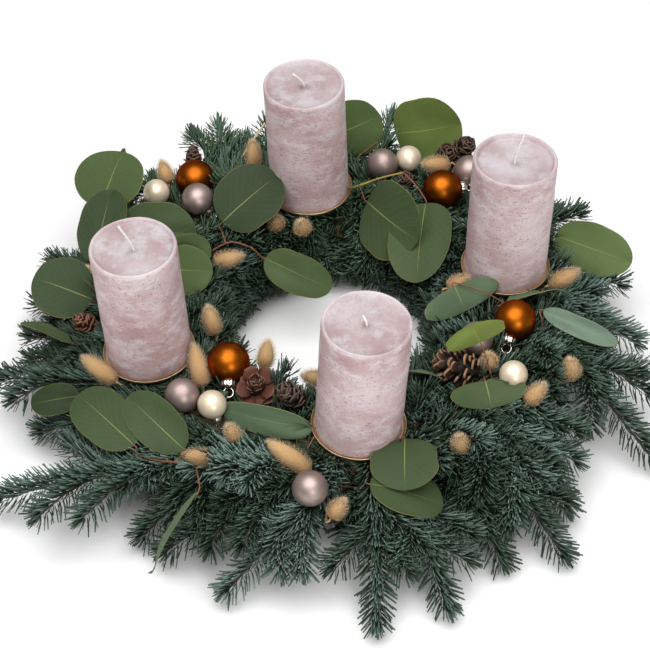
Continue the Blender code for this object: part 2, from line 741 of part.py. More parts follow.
def cone_cluster(name, cones, placed, base):
    """One cone, or two on a shared twig."""
    samples = []
    for foot, heading, rise, length, width in cones:
        for s, share in ((0, 0.35), (0.3, 0.5), (0.55, 0.5), (0.8, 0.45), (1.05, 0.2)):
            point = place(*foot) + aim(heading, rise) * length * s * MM
            samples.append((point, (width * share + GAP) * MM))
    shift = settle(samples, placed)
    shapes = [add_object(name, cone_shape(*cone, shift), "bark") for cone in cones]
    if len(cones) > 1:
        feet = [place(*cone[0]) + shift + aim(*cone[1:3]) * 3 * MM for cone in cones]
        low = (feet[0] + feet[1]) / 2 - UP * 4 * MM
        twig = bristled([feet[0], low, feet[1]], [1.4 * MM] * 3, 3)
        shapes.append(add_object("twig", twig, "bark"))
        combine(shapes[0], shapes[1:], "UNION")
    foot, heading, rise, length, _ = cones[0]
    heart = place(*foot) + shift + aim(heading, rise) * length * 0.35 * MM
    pick(shapes[0], heart, placed, base)
    return placed.add(shapes[0])


def leaf_shape(foot, heading, rise, roll, length, width, placed):
    """A cupped, arched blade of even thickness, its two faces split alike."""
    ahead = aim(heading, rise)
    level = Vector((-sin(radians(heading)), cos(radians(heading)), 0))
    over = ahead.cross(level)
    side = level * cos(radians(roll)) + over * sin(radians(roll))
    normal = ahead.cross(side)
    base = place(*foot)

    def spot(along, across):
        lift = LEAF_CUP * width * abs(across) - LEAF_DROOP * length * (2 * along - 1) ** 2
        return base + (ahead * along * length + side * across * width / 2 + normal * lift) * MM

    rows = [[spot(0, 0)]]
    rows += [[spot(s, -w), spot(s, 0), spot(s, w)] for s, w in LEAF_STATIONS]
    rows.append([spot(0.97, 0)])
    samples = [(spot(s, w * k / 2), 0.9 * MM) for s, w in LEAF_STATIONS for k in range(-2, 3)]
    samples += [(spot(s, 0), 0.9 * MM) for s in (0, 0.28, 0.65, 0.97)]
    shift = settle([(p - normal * LEAF_THICK / 2 * MM, need) for p, need in samples], placed)
    shift *= min(1, LEAF_SHIFT * MM / max(shift.length, MM))
    rows = [[p + shift for p in row] for row in rows]
    give_way(rows, normal * LEAF_THICK / 2 * MM, placed)
    shape = bmesh.new()
    upper = [[shape.verts.new(p) for p in row] for row in rows]
    lower = [[shape.verts.new(p - normal * LEAF_THICK * MM) for p in row] for row in rows]
    for layer, flip in ((upper, False), (lower, True)):
        for a, b in zip(layer, layer[1:]):
            for face in leaf_faces(a, b):
                shape.faces.new(face[::-1] if flip else face)
    rim = [0] * len(rows), [-1] * len(rows)
    for ends, flip in zip(rim, (False, True)):
        for i in range(len(rows) - 1):
            a, b = upper[i][ends[i]], upper[i + 1][ends[i + 1]]
            c, d = lower[i + 1][ends[i + 1]], lower[i][ends[i]]
            for face in ((a, b, c), (a, c, d)):
                shape.faces.new(face[::-1] if flip else face)
    foot = rows[0][0] - normal * LEAF_THICK / 2 * MM
    inner = foot.lerp(rows[1][1] - normal * LEAF_THICK / 2 * MM, 0.6)
    return shape, foot, inner


def give_way(rows, depth, placed):
    """Bends a blade's points out of what is in place, with the middles of its faces."""
    for _ in range(30):
        for a, b in zip(rows, rows[1:]):
            for face in leaf_faces(a, b):
                for point, need in ((sum(face, Vector()) / 3, 0.9), *((p, 1.1) for p in face)):
                    move = placed.push(point - depth, need * MM)
                    for p in face if move else ():
                        p += move * (0.6 if point is p else 0.4)


def leaf_faces(a, b):
    """The triangles between two rows of a blade."""
    if len(a) == 1:
        return [(a[0], b[0], b[1]), (a[0], b[1], b[2])]
    if len(b) == 1:
        return [(a[0], b[0], a[1]), (a[1], b[0], a[2])]
    return [(a[0], b[0], b[1]), (a[0], b[1], a[1]), (a[1], b[1], b[2]), (a[1], b[2], a[2])]


def twig(name, course, leaves, placed):
    """A eucalyptus twig: a stem laid along the ring, with a petiole to each leaf."""
    crowd = Placed(placed)
    blades = []
    tools = []
    for leaf in leaves:
        blades.append(leaf_shape(*leaf, crowd))
        tools.append(crowd.add(add_object("leaf", blades[-1][0], "eucalyptus")))
    points = bend_clear(spread([place(*p) for p in course], 24), (STEM_RADIUS + 0.7) * MM, placed, 0)
    stem = bristled(points, [STEM_RADIUS * MM] * len(points), 3)
    obj = add_object(name, stem, "eucalyptus")
    for _, foot, inner in blades:
        joint = min(points, key=lambda p: (p - foot).length)
        near = foot + (foot - inner).normalized() * 3 * MM
        bow = joint.lerp(near, 0.5) + UP * 0.08 * (near - joint).length
        way = bend_clear([joint, bow, near, inner], (PETIOLE_RADIUS + 0.5) * MM, placed, 1, 1)
        petiole = bristled(way, [PETIOLE_RADIUS * MM] * 4, 3)
        tools.append(add_object("petiole", petiole, "eucalyptus"))
    combine(obj, tools, "UNION")
    return placed.add(obj)


def tail_head(base, axis, length):
    """A bunny tail's head: short bristles that lean forward on an egg-shaped core."""
    stations = (0.0, 0.25, 0.62, 1.0)
    course = [base + axis * length * s * MM for s in stations]
    core = [TAIL_RADIUS * MM * share for share in (0.4, 0.82, 0.72, 0.2)]

    def bristle(_, corners, outward, ahead):
        return sum(corners, Vector()) / 4 + (outward * 0.42 + ahead * 0.62) * TAIL_RADIUS * MM

    return bristled(course, core, TAIL_SIDES, [0, 0.5, 1, 1.5], bristle)


def bunny_tails(name, course, heads, placed):
    """Bunny tails whose stems run together along the ring's shoulder."""
    radius, height = course
    angles = [head[0][0] for head in heads]
    angles = [a + 360 if max(angles) - a > 180 else a for a in angles]
    low, high = min(angles), max(angles)
    steps = max(2, round((high - low) / 7))
    shared = [place(low + (high - low) * i / steps, radius, height) for i in range(steps + 1)]
    need = (TAIL_STEM + 0.6) * MM
    shared = bend_clear(shared, need, placed, 0)
    obj = add_object(name, bristled(shared, [TAIL_STEM * MM] * len(shared), 3), "bunny_tail")
    tools = []
    for foot, heading, rise, length in heads:
        base = place(*foot)
        axis = aim(heading, rise)
        base += settle([
            (base + axis * length * s * MM, TAIL_RADIUS * share * MM)
            for s, share in ((0, 0.9), (0.3, 1.12), (0.6, 1.15), (0.9, 1.0), (1.15, 0.5))
        ], placed)
        tools.append(add_object("head", tail_head(base, axis, length), "bunny_tail"))
        joint = min(shared, key=lambda p: (p - base).length)
        neck = base - axis * 4 * MM
        inner = base + axis * 3 * MM
        way = bend_clear([joint, neck, inner], need, placed, 1, 1)
        stem = bristled(way, [TAIL_STEM * MM] * 3, 3)
        tools.append(add_object("stem", stem, "bunny_tail"))
    combine(obj, tools, "UNION")
    return placed.add(obj)


def stem_place(angle):
    """A point on the line that the fir's bound stems follow over the straw."""
    slope = 2 * pi * (TOP_OUTER - 2.5) / CORNERS
    return place(angle, RING_RADIUS + STEM_REACH * cos(slope), STRAW_THICK / 2 + STEM_REACH * sin(slope))


def sprig_course(start, tip):
    """A sprig leaves the bound stems rising, arches over and droops to its tip."""
    root = stem_place(start)
    end = place(*tip)
    reach = (end - root).length
    outward = Vector((root.x, root.y, 0)).normalized()
    if Vector((end.x, end.y)).length < Vector((root.x, root.y)).length:
        outward = -outward
    first = root + (outward * 0.28 + UP * 0.03) * reach
    second = end.lerp(root, 0.32) + UP * 0.05 * reach
    count = max(2, round(reach / (PITCH * MM)))
    points = []
    for i in range(count + 1):
        t = 1 - (1 - i / count) ** 1.25
        points.append(root * (1 - t) ** 3 + first * 3 * t * (1 - t) ** 2
                      + second * 3 * t * t * (1 - t) + end * t ** 3)
    return points


def sprig_shape(course, placed, draw):
    """A slim twig with whorls of three needles, each whorl turned by half a side."""
    stations, radii, turns, whorls = [], [], [], []
    count = len(course) - 1
    for i, point in enumerate(course):
        size = (TWIG_RADIUS + (TWIG_TIP - TWIG_RADIUS) * i / count) * MM
        stations.append(point)
        radii.append(size)
        turns.append(i / 2)
        if 0 < i < count:
            ahead = (course[i + 1] - point).normalized()
            stations.append(point + ahead * NEEDLE_FOOT * MM)
            radii.append(size)
            turns.append(i / 2)
            whorls.append(len(stations) - 2)

    def needle_tip(i, corners, outward, ahead):
        if i not in whorls:
            return None
        share = 1 - 0.25 * i / len(stations)
        lean = radians(NEEDLE_LEAN * (1 - 0.45 * i / len(stations)) + draw.uniform(-7, 7))
        way = (outward * sin(lean) + ahead * cos(lean) + UP * 0.12).normalized()
        length = NEEDLE_LENGTH * share * draw.uniform(0.88, 1.1) * MM
        return needle_end(corners, way, length, placed)

    return bristled(stations, radii, 3, turns, needle_tip)


def needle_end(corners, way, length, placed):
    """The end of a needle, shortened where something is in its way, or None if it can't stand."""
    foot = sum(corners, Vector()) / 4
    for share in (1, 0.85, 0.7, 0.55, 0.4):
        tip = foot + way * length * share
        if tip.z < 1.2 * MM or Vector((tip.x, tip.y)).length < HOLE_RADIUS * MM:
            continue
        if all(placed.free(foot.lerp(tip, k / 5), NEEDLE_CLEAR * MM) for k in range(1, 6)) and \
                all(placed.open_line(corner, tip) for corner in [foot, *corners]):
            return tip
    return None


def stem_arc(middle):
    """The course of a bunch's bound stems."""
    return [stem_place(middle + BUNCH_HALF * (1 - 2 * i / 6)) for i in range(7)]


def fir_stems(placed):
    """The courses of each bunch's bound stems and sprigs, bent clear of what is in place
    and of the other bunches'."""
    courses = {}
    for name, (middle, sprigs) in SPRIGS.items():
        arcs = {other: [stem_arc(SPRIGS[other][0])] for other in SPRIGS if other not in courses}
        del arcs[name]
        guards = twig_guards({**courses, **arcs})
        crowd = Placed(placed, guards)
        courses[name] = [stem_arc(middle)]
        for start, tip in sprigs:
            bent = bend_clear(sprig_course(start, tip), (TWIG_RADIUS + 0.6) * MM, crowd, 1)
            courses[name].append(bent)
        for guard in guards:
            bpy.data.objects.remove(guard)
    return courses


def fir_bunch(name, courses, placed, guards, draw):
    """A bunch of sprigs that grow from stems bound along the straw."""
    obj = add_object(name, bristled(courses[0], [BOUND_STEM * MM] * 7, 5), "fir")
    crowd = Placed(placed, guards)
    tools = []
    for course in courses[1:]:
        sprig = add_object("sprig", sprig_shape(course, crowd, draw), "fir")
        tools.append(sprig)
    combine(obj, tools, "UNION")
    return placed.add(obj)


def twig_guards(courses):
    """Plain tubes round the stems and twigs of some bunches, to keep others clear of them."""
    guards = []
    for stems, *sprigs in courses.values():
        for course in [stems, *sprigs]:
            size = ((BOUND_STEM if course is stems else TWIG_RADIUS) + GAP) / cos(pi / 6)
            tube = bristled(course, [size * MM] * len(course), 6)
            guards.append(add_object("guard", tube, "fir"))
    return guards


def build():
    clear_scene()
    placed = Placed()
    straw_ring(placed)
    binding_wire(placed)
    stems = twig_guards({name: [stem_arc(middle)] for name, (middle, _) in SPRIGS.items()})
    arcs = [bristled(stem_arc(middle), [BOUND_STEM * MM] * 7, 5) for middle, _ in SPRIGS.values()]
    arcs = [add_object("arc", arc, "fir") for arc in arcs]
    base = Placed(placed, arcs)
    for arc in arcs:
        bpy.data.objects.remove(arc)
    for guard in stems:
        placed.add(guard)
    for name in CANDLES:
        candle_plate(name, placed)
        candle(name, placed)
        wick(name, placed)
    for name, centre, pointing in BAUBLES:
        bauble(name, centre, pointing, placed, base)
    for name, cones in CONES.items():
        cone_cluster(name, cones, placed, base)
    for name, (course, leaves) in TWIGS.items():
        twig(name, course, leaves, placed)
    for name, (course, heads) in TAILS.items():
        bunny_tails(name, course, heads, placed)
    for guard in stems:
        bpy.data.objects.remove(guard)
    placed = Placed()
    for obj in bpy.data.objects:
        placed.add(obj)
    courses = fir_stems(placed)
    for number, name in enumerate(SPRIGS):
        own = courses.pop(name)
        guards = twig_guards(courses)
        draw = np.random.default_rng(420 + number)
        fir_bunch(name, own, placed, guards, draw)
        for guard in guards:
            bpy.data.objects.remove(guard)


build()
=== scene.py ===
"""The finished look of the advent wreath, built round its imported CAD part.

Sections follow the wreath as it is put together: straw ring, wire, plates, candles, wicks,
eucalyptus, baubles, cones, bunny tails, and last the fir, whose needles give way to all of
them. Sizes are given in millimetres, in the part's frame.
"""

from math import atan2, cos, pi, radians, sin, tau

import bmesh
import bpy
import numpy as np
from mathutils import Matrix, Vector, noise
from mathutils.bvhtree import BVHTree


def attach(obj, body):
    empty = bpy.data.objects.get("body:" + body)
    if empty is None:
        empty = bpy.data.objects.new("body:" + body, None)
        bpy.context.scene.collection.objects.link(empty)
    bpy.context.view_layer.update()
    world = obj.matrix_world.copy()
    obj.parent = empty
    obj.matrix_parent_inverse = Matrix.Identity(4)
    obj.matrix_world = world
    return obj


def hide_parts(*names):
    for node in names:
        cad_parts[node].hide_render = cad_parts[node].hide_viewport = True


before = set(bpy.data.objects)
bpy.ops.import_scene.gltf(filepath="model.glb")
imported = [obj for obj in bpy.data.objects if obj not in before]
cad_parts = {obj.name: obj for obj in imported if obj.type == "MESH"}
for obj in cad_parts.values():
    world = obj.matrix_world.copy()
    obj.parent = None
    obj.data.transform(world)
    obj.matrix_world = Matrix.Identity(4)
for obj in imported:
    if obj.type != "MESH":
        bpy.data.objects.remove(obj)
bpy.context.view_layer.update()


# Straw ring
# A ring of rye straw, bundled by hand as thick as a wrist. It carries everything. The
# straws run round the ring and are drawn in along each turn of the binding wire.
MM = 0.001
UP = Vector((0, 0, 1))
RING_MIDDLE = Vector((5, 15, 0)) * MM
RING_RADIUS = 128 * MM
STRAW_RADIUS = 25 * MM
STRAWS = 230
STRAW_STEPS = 8
WIRE_TURNS = 10
WIRE_START = radians(13.5)         # where the first turn starts, round the ring
WIRE_SLOPE = -112.5                # where each turn starts, round the straw, in degrees
WIRE_BITE = 1.6 * MM               # how far a turn draws the straw in
WIRE_GROOVE = 0.07                 # half of the groove's width, in turns of the wire


def on_ring(turn, slope, reach):
    """A point at an angle round the ring and a slope round the straw's own middle."""
    out = RING_RADIUS + reach * cos(slope)
    high = STRAW_RADIUS + reach * sin(slope)
    return RING_MIDDLE + Vector((out * cos(turn), out * sin(turn), high))


def hump(off):
    """A smooth hump: 1 in the middle, where off is 0, and next to nothing where it is 2."""
    steepness = 2.718
    return steepness ** -(off ** 2)


def straw_reach(turn, slope):
    """How far the straw reaches from its own middle: less where the wire bites in."""
    phase = (turn - WIRE_START) * WIRE_TURNS / tau - slope / tau + WIRE_SLOPE / 360
    return STRAW_RADIUS - WIRE_BITE * hump((phase - round(phase)) / WIRE_GROOVE)


def facing(way):
    """The turn that takes +Z to a direction."""
    return way.to_track_quat("Z", "Y").to_matrix().to_4x4()


def rod(course, sizes, sides):
    """A closed rod through a course of points, with a radius at each."""
    shape = bmesh.new()
    before = []
    for i, (point, size) in enumerate(zip(course, sizes)):
        ahead = course[min(i + 1, len(course) - 1)] - course[max(i - 1, 0)]
        seat = Matrix.Translation(point) @ facing(ahead)
        ring = bmesh.ops.create_circle(shape, segments=sides, radius=size, matrix=seat)["verts"]
        edges = list({edge for vert in ring for edge in vert.link_edges})
        if before:
            bmesh.ops.bridge_loops(shape, edges=before + edges)
        before = edges
    bmesh.ops.holes_fill(shape, edges=[edge for edge in shape.edges if edge.is_boundary])
    bmesh.ops.recalc_face_normals(shape, faces=shape.faces)
    return shape


def spin_round(shape, middle, axis, steps):
    """Makes a body from a shape's outline, by one full turn about an axis."""
    bmesh.ops.spin(shape, geom=shape.verts[:] + shape.edges[:], cent=middle, axis=axis,
                   angle=tau, steps=steps, use_merge=True)
    bmesh.ops.remove_doubles(shape, verts=shape.verts, dist=0.005 * MM)
    bmesh.ops.recalc_face_normals(shape, faces=shape.faces)


def as_mesh(name, shape):
    """A mesh made from a shape, which is used up."""
    mesh = bpy.data.meshes.new(name)
    shape.to_mesh(mesh)
    shape.free()
    return mesh


def mark(shape, name, value):
    """Gives all points of a shape a value, under a name by which its finish reads it."""
    layer = shape.verts.layers.float.get(name) or shape.verts.layers.float.new(name)
    for vert in shape.verts:
        vert[layer] = value


def lay_in(bundle, shape, tone):
    """Adds a shape to a bundle. Its tone, from 0 to 1, is what tells it from the next one."""
    mark(shape, "tone", tone)
    loose = as_mesh("loose", shape)
    bundle.from_mesh(loose)
    bpy.data.meshes.remove(loose)


def add_piece(name, shape, finish):
    """Puts a shape in the scene as a smooth piece with its finish."""
    mesh = as_mesh(name, shape)
    mesh.materials.append(finish)
    mesh.shade_smooth()
    piece = bpy.data.objects.new(name, mesh)
    bpy.context.scene.collection.objects.link(piece)
    return piece


def new_finish(name, numbers):
    """A finish, with what is the same all over set on its shader's own sockets."""
    finish = bpy.data.materials.new(name)
    finish.use_nodes = True
    for socket, value in numbers.items():
        finish.node_tree.nodes["Principled BSDF"].inputs[socket].default_value = value
    return finish


def node(finish, kind, sockets, **settings):
    """A node of a finish, with each socket set to a value or fed from another node."""
    made = finish.node_tree.nodes.new("ShaderNode" + kind)
    for setting, value in settings.items():
        setattr(made, setting, value)
    for socket, value in sockets.items():
        if isinstance(value, bpy.types.NodeSocket):
            finish.node_tree.links.new(value, made.inputs[socket])
        else:
            made.inputs[socket].default_value = value
    return made


def feed(finish, socket, source):
    """Feeds one of the shader's sockets."""
    shader = finish.node_tree.nodes["Principled BSDF"]
    finish.node_tree.links.new(source, shader.inputs[socket])


def object_place(finish, stretch=(1, 1, 1)):
    """Where a spot is on the object, for patterns that don't follow the surface."""
    place = node(finish, "TexCoord", {}).outputs["Object"]
    return node(finish, "Mapping", {"Vector": place, "Scale": stretch}).outputs["Vector"]


def mottle(finish, place, scale, detail=3.0, roughness=0.5):
    """A cloudy pattern from 0 to 1."""
    sockets = {"Vector": place, "Scale": scale, "Detail": detail, "Roughness": roughness}
    return node(finish, "TexNoise", sockets).outputs["Fac"]


def carried(finish, name):
    """A value that the mesh carries on its points, such as the tone."""
    return node(finish, "Attribute", {}, attribute_name=name).outputs["Fac"]


def grade(finish, factor, *stops):
    """Colours by a factor: each stop is where it is reached and the colour."""
    ramp = node(finish, "ValToRGB", {"Fac": factor})
    elements = ramp.color_ramp.elements
    for element, (at, colour) in zip(elements, (stops[0], stops[-1])):
        element.position = at
        element.color = (*colour, 1)
    for at, colour in stops[1:-1]:
        elements.new(at).color = (*colour, 1)
    return ramp.outputs["Color"]


def blend(finish, factor, first, second, way="MIX"):
    """Two colours or patterns blended."""
    sockets = {0: factor, 6: first, 7: second}
    return node(finish, "Mix", sockets, data_type="RGBA", blend_type=way).outputs[2]


def roughen(finish, height, depth, strength=1.0):
    """Small unevenness that only the light shows, by its depth in millimetres."""
    sockets = {"Height": height, "Distance": depth * MM, "Strength": strength}
    feed(finish, "Normal", node(finish, "Bump", sockets).outputs["Normal"])


straw = bmesh.new()
section = Matrix.Translation(RING_MIDDLE + Vector((RING_RADIUS, 0, STRAW_RADIUS)))
section @= Matrix.Rotation(pi / 2, 4, "X")
bmesh.ops.create_circle(straw, segments=20, radius=STRAW_RADIUS, matrix=section)
spin_round(straw, RING_MIDDLE, UP, 120)
for vert in straw.verts:
    level = vert.co - RING_MIDDLE
    turn = atan2(level.y, level.x)
    slope = atan2(level.z - STRAW_RADIUS, level.xy.length - RING_RADIUS)
    vert.co = on_ring(turn, slope, straw_reach(turn, slope) - 0.5 * MM)
mark(straw, "tone", 0)
draw = np.random.default_rng(11)
for number in range(STRAWS):
    turn, slope = draw.uniform(0, tau), tau * number / STRAWS
    span, drift = draw.uniform(0.35, 0.9), draw.uniform(-0.12, 0.12)
    lift = draw.uniform(-0.2, 0.5) * MM
    course = []
    for k in range(STRAW_STEPS + 1):
        a, b = turn + span * k / STRAW_STEPS, slope + drift * k / STRAW_STEPS
        spot = on_ring(a, b, straw_reach(a, b) + lift)
        spot.z = max(spot.z, 0.9 * MM)
        course.append(spot)
    size = draw.uniform(0.7, 1.1) * MM
    lay_in(straw, rod(course, [size] * len(course), 4), draw.uniform(0.15, 1))

straw_finish = new_finish("straw", {"Roughness": 0.62, "Sheen Weight": 0.1})
straw_place = object_place(straw_finish)
# The straw's colours are partly its own and partly painted shade: they are kept dark for the fir's
# shade over the ring.
straw_colour = grade(straw_finish, carried(straw_finish, "tone"), (0.0, (0.10, 0.065, 0.03)),
                     (0.5, (0.24, 0.17, 0.08)), (1.0, (0.42, 0.33, 0.16)))
straw_marks = mottle(straw_finish, straw_place, 220, 4)
feed(straw_finish, "Base Color", blend(straw_finish, straw_marks, straw_colour,
                                       (0.30, 0.20, 0.08, 1)))
roughen(straw_finish, mottle(straw_finish, straw_place, 900, 3), 0.2)

straw_piece = add_piece("straw_bundle", straw, straw_finish)
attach(straw_piece, "root")
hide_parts("straw_ring")


# Binding wire
# Green florist's wire, 0.9 mm thick, wound ten times round the straw. It holds the stems of
# the fir down on the ring's outer shoulder.
WIRE_RADIUS = 0.45
WIRE_CORNERS = 8                   # points by which a turn is laid
WIRE_REACH = 25.4 * MM             # how far the wire is from the straw's own middle
WIRE_OVER_STEMS = 33.0 * MM        # and where it is lifted over the stems


def smooth_walk(course, pitch):
    """Steps of about a pitch along a smooth curve through a course: for each the point, the
    way ahead, and how far along it is from 0 to 1."""
    ends = [course[0] * 2 - course[1], *course, course[-1] * 2 - course[-2]]
    points = [course[0]]
    for a, b, c, d in zip(ends, ends[1:], ends[2:], ends[3:]):
        steps = max(1, round((c - b).length / pitch))
        for k in range(1, steps + 1):
            t = k / steps
            spot = b * 2 + (c - a) * t + (a * 2 - b * 5 + c * 4 - d) * t * t
            points.append((spot + (b * 3 - a - c * 3 + d) * t ** 3) / 2)
    last = len(points) - 1
    return [(point, (points[min(i + 1, last)] - points[max(i - 1, 0)]).normalized(), i / last)
            for i, point in enumerate(points)]


def tapered(course, pitch, first, last, sides):
    """A rod along a smooth curve through a course. Pitch and radii are in millimetres."""
    steps = smooth_walk(course, pitch * MM)
    sizes = [(first + (last - first) * share) * MM for _, _, share in steps]
    return rod([point for point, _, _ in steps], sizes, sides)


corners = []
for corner in range(WIRE_TURNS * WIRE_CORNERS):
    share, lifted = corner / WIRE_CORNERS, corner % WIRE_CORNERS == WIRE_CORNERS // 2
    spot = on_ring(WIRE_START + share * tau / WIRE_TURNS, radians(360 * (share % 1) + WIRE_SLOPE),
                   WIRE_OVER_STEMS if lifted else WIRE_REACH)
    spot.z = max(spot.z, 0.6 * MM)
    corners.append(spot)
wire = tapered(corners + corners[:1], 4, WIRE_RADIUS, WIRE_RADIUS, 6)


def speckle(finish, scale, detail, *stops):
    """Colours a finish by a cloudy pattern, which is handed back for other uses."""
    marks = mottle(finish, object_place(finish), scale, detail)
    feed(finish, "Base Color", grade(finish, marks, *stops))
    return marks


wire_finish = new_finish("green_wire", {"Metallic": 0.5, "Roughness": 0.4})
wire_marks = speckle(wire_finish, 350, 3, (0.35, (0.03, 0.08, 0.03)), (0.7, (0.07, 0.15, 0.07)))
roughen(wire_finish, wire_marks, 0.1)

wire_piece = add_piece("wire_winding", wire, wire_finish)
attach(wire_piece, "root")
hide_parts("binding_wire")


# Candle plates
# Four dishes pressed from brass-coloured sheet. A spike below goes into the straw and
# one above holds the candle. Only the thin turned-up rim shows round the wax.
PLATE_SEAT = 60 * MM
CANDLE_STANDS = {                  # angle round the ring, distance, lean along X and Y
    "left": (199.3, 135.2, -1.87, -0.94),
    "front": (278.5, 120.4, 3.15, -2.24),
    "right": (14.4, 133.6, 1.35, 0.83),
    "back": (96.0, 125.5, -1.11, -0.46),
}


def candle_stand(name):
    """The middle of a plate's upper face, leaning as its candle does."""
    angle, radius, lean_x, lean_y = CANDLE_STANDS[name]
    foot = Vector((cos(radians(angle)), sin(radians(angle)), 0)) * radius * MM
    axis = Vector((radians(lean_x), radians(lean_y), 1)).normalized()
    upright = UP.rotation_difference(axis).to_matrix().to_4x4()
    return Matrix.Translation(RING_MIDDLE + foot + UP * PLATE_SEAT) @ upright


def turned(profile, steps):
    """A body turned about Z from a profile of radius and height, both in millimetres."""
    shape = bmesh.new()
    points = [shape.verts.new((radius * MM, 0, height * MM)) for radius, height in profile]
    for pair in zip(points, points[1:]):
        shape.edges.new(pair)
    spin_round(shape, (0, 0, 0), UP, steps)
    return shape


def figure(finish, operation, *values):
    """A sum worked out on patterns."""
    made = node(finish, "Math", dict(enumerate(values)), operation=operation)
    return made.outputs["Value"]


PLATE_PROFILE = [                  # radius and height
    (0, -42), (0.7, -30), (1.4, -0.9), (1.8, -0.8), (31.0, -0.8), (31.8, -0.4), (32.3, 0.6),
    (32.6, 2.0), (32.5, 2.3), (32.2, 2.3), (31.9, 2.0), (31.5, 0.8), (31.0, 0.1), (30.4, 0),
    (1.6, 0), (1.3, 0.3), (0.6, 9), (0, 13),
]
plate_finish = new_finish("brass", {"Metallic": 0.9, "Roughness": 0.33, "Anisotropic": 0.3})
plate_marks = speckle(plate_finish, 90, 4, (0.3, (0.62, 0.44, 0.26)), (0.7, (0.80, 0.64, 0.42)))
feed(plate_finish, "Roughness", figure(plate_finish, "MULTIPLY_ADD", plate_marks, 0.25, 0.22))
for name in CANDLE_STANDS:
    plate = turned(PLATE_PROFILE, 72)
    plate.transform(candle_stand(name))
    plate_piece = add_piece("plate_" + name, plate, plate_finish)
    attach(plate_piece, "root")
    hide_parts("candle_plate_" + name)


# Candles
# Rustic pillars, 60 mm thick, poured in dusty pink wax. The sides have a white bloom, small
# pits and scratches from the mould, and the top lies a little below a thin clear rim.
CANDLE_RADIUS = 30.0
CANDLE_HEIGHT = 101.7
DISHES = {"left": 1.7, "front": 0.9, "right": 2.6, "back": 1.2}      # below the rim


def threshold(finish, pattern, low, high, top=1.0):
    """A pattern brought to 0 below one level and to its top above another."""
    return grade(finish, pattern, (low, (0, 0, 0)), (high, (top, top, top)))


def tint(finish, colour, pattern, share, other):
    """A colour with another one laid over it where a pattern is, by a share of it."""
    return blend(finish, figure(finish, "MULTIPLY", pattern, share), colour, (*other, 1))


wax_finish = new_finish("wax", {
    "Roughness": 0.5, "Subsurface Weight": 0.22, "Subsurface Radius": (1.0, 0.55, 0.5),
    "Subsurface Scale": 5 * MM, "Specular IOR Level": 0.45,
})
wax_place = object_place(wax_finish)
wax_clouds = mottle(wax_finish, wax_place, 26, 4, 0.6)
wax_colour = grade(wax_finish, wax_clouds, (0.30, (0.43, 0.27, 0.27)),
                   (0.48, (0.56, 0.41, 0.41)), (0.62, (0.66, 0.53, 0.54)),
                   (0.75, (0.74, 0.66, 0.67)))
bloom = mottle(wax_finish, object_place(wax_finish, (1, 1, 2.2)), 55, 6, 0.7)
bloom = threshold(wax_finish, bloom, 0.48, 0.62, 0.75)
wax_colour = blend(wax_finish, bloom, wax_colour, (0.73, 0.66, 0.68, 1))
grain = threshold(wax_finish, mottle(wax_finish, wax_place, 820, 3, 0.7), 0.40, 0.62)
wax_colour = tint(wax_finish, wax_colour, grain, 0.22, (0.42, 0.27, 0.28))
scratches = mottle(wax_finish, object_place(wax_finish, (1, 1, 4.5)), 210, 5, 0.65)
specks = mottle(wax_finish, wax_place, 700, 2)
pits = threshold(wax_finish, figure(wax_finish, "MULTIPLY", scratches, specks), 0.315, 0.36)
upwards = node(wax_finish, "NewGeometry", {}).outputs["Normal"]
upwards = node(wax_finish, "SeparateXYZ", {"Vector": upwards}).outputs["Z"]
on_top = threshold(wax_finish, upwards, 0.20, 0.60)
on_side = figure(wax_finish, "SUBTRACT", 1.0, on_top)
on_side = figure(wax_finish, "MULTIPLY_ADD", on_side, 0.55, 0.1)
wax_colour = tint(wax_finish, wax_colour, pits, on_side, (0.26, 0.14, 0.15))
# Painted shade: faces that look up, the candle tops, get a darker, greyer colour than the sides.
wax_colour = blend(wax_finish, on_top, wax_colour, (0.69, 0.73, 0.74, 1), "MULTIPLY")
lip = figure(wax_finish, "MULTIPLY", carried(wax_finish, "rim"), wax_clouds)
wax_colour = tint(wax_finish, wax_colour, lip, 0.6, (0.66, 0.57, 0.58))
feed(wax_finish, "Base Color", wax_colour)
wax_height = blend(wax_finish, 0.5, scratches, wax_clouds)
wax_height = blend(wax_finish, pits, wax_height, (0, 0, 0, 1))
roughen(wax_finish, wax_height, 0.35, 0.7)

for name, dish in DISHES.items():
    top, low = CANDLE_HEIGHT, CANDLE_HEIGHT - dish
    profile = [(0, 15), (2, 0.5), (29.4, 0.3), (29.9, 0.8)]
    profile += [(CANDLE_RADIUS, 4 + 6 * k) for k in range(16)]
    profile += [(CANDLE_RADIUS, top - 3.2), (29.95, top - 1.7), (29.5, top - 0.6), (28.7, top),
                (27.9, top - 0.1), (27.4, top - 0.9), (27.0, low - 0.3), (24, low - 0.7)]
    profile += [(24 - 4.5 * k, low - 0.5 - 0.1 * k) for k in range(1, 5)]
    profile += [(1.3, low - 1.4), (1.3, 90), (0, 90)]
    candle = turned(profile, 96)
    rim_layer = candle.verts.layers.float.new("rim")
    for vert in candle.verts:
        if vert.co.z > (top - 1.2) * MM and vert.co.xy.length > 27.2 * MM:
            vert[rim_layer] = 1.0
        uneven = noise.noise(vert.co * 60 + Vector((len(name), 0, 0))) * 0.35
        uneven += noise.noise(vert.co * 260) * 0.10
        if vert.co.z > 95 * MM:
            vert.co.z += uneven * 0.8 * MM
        if vert.co.xy.length > 20 * MM and vert.co.z > 2 * MM:
            vert.co.xy *= 1 + (uneven - 0.2) / CANDLE_RADIUS
    candle.transform(candle_stand(name))
    candle_piece = add_piece("pillar_" + name, candle, wax_finish)
    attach(candle_piece, "root")
    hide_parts("candle_" + name)


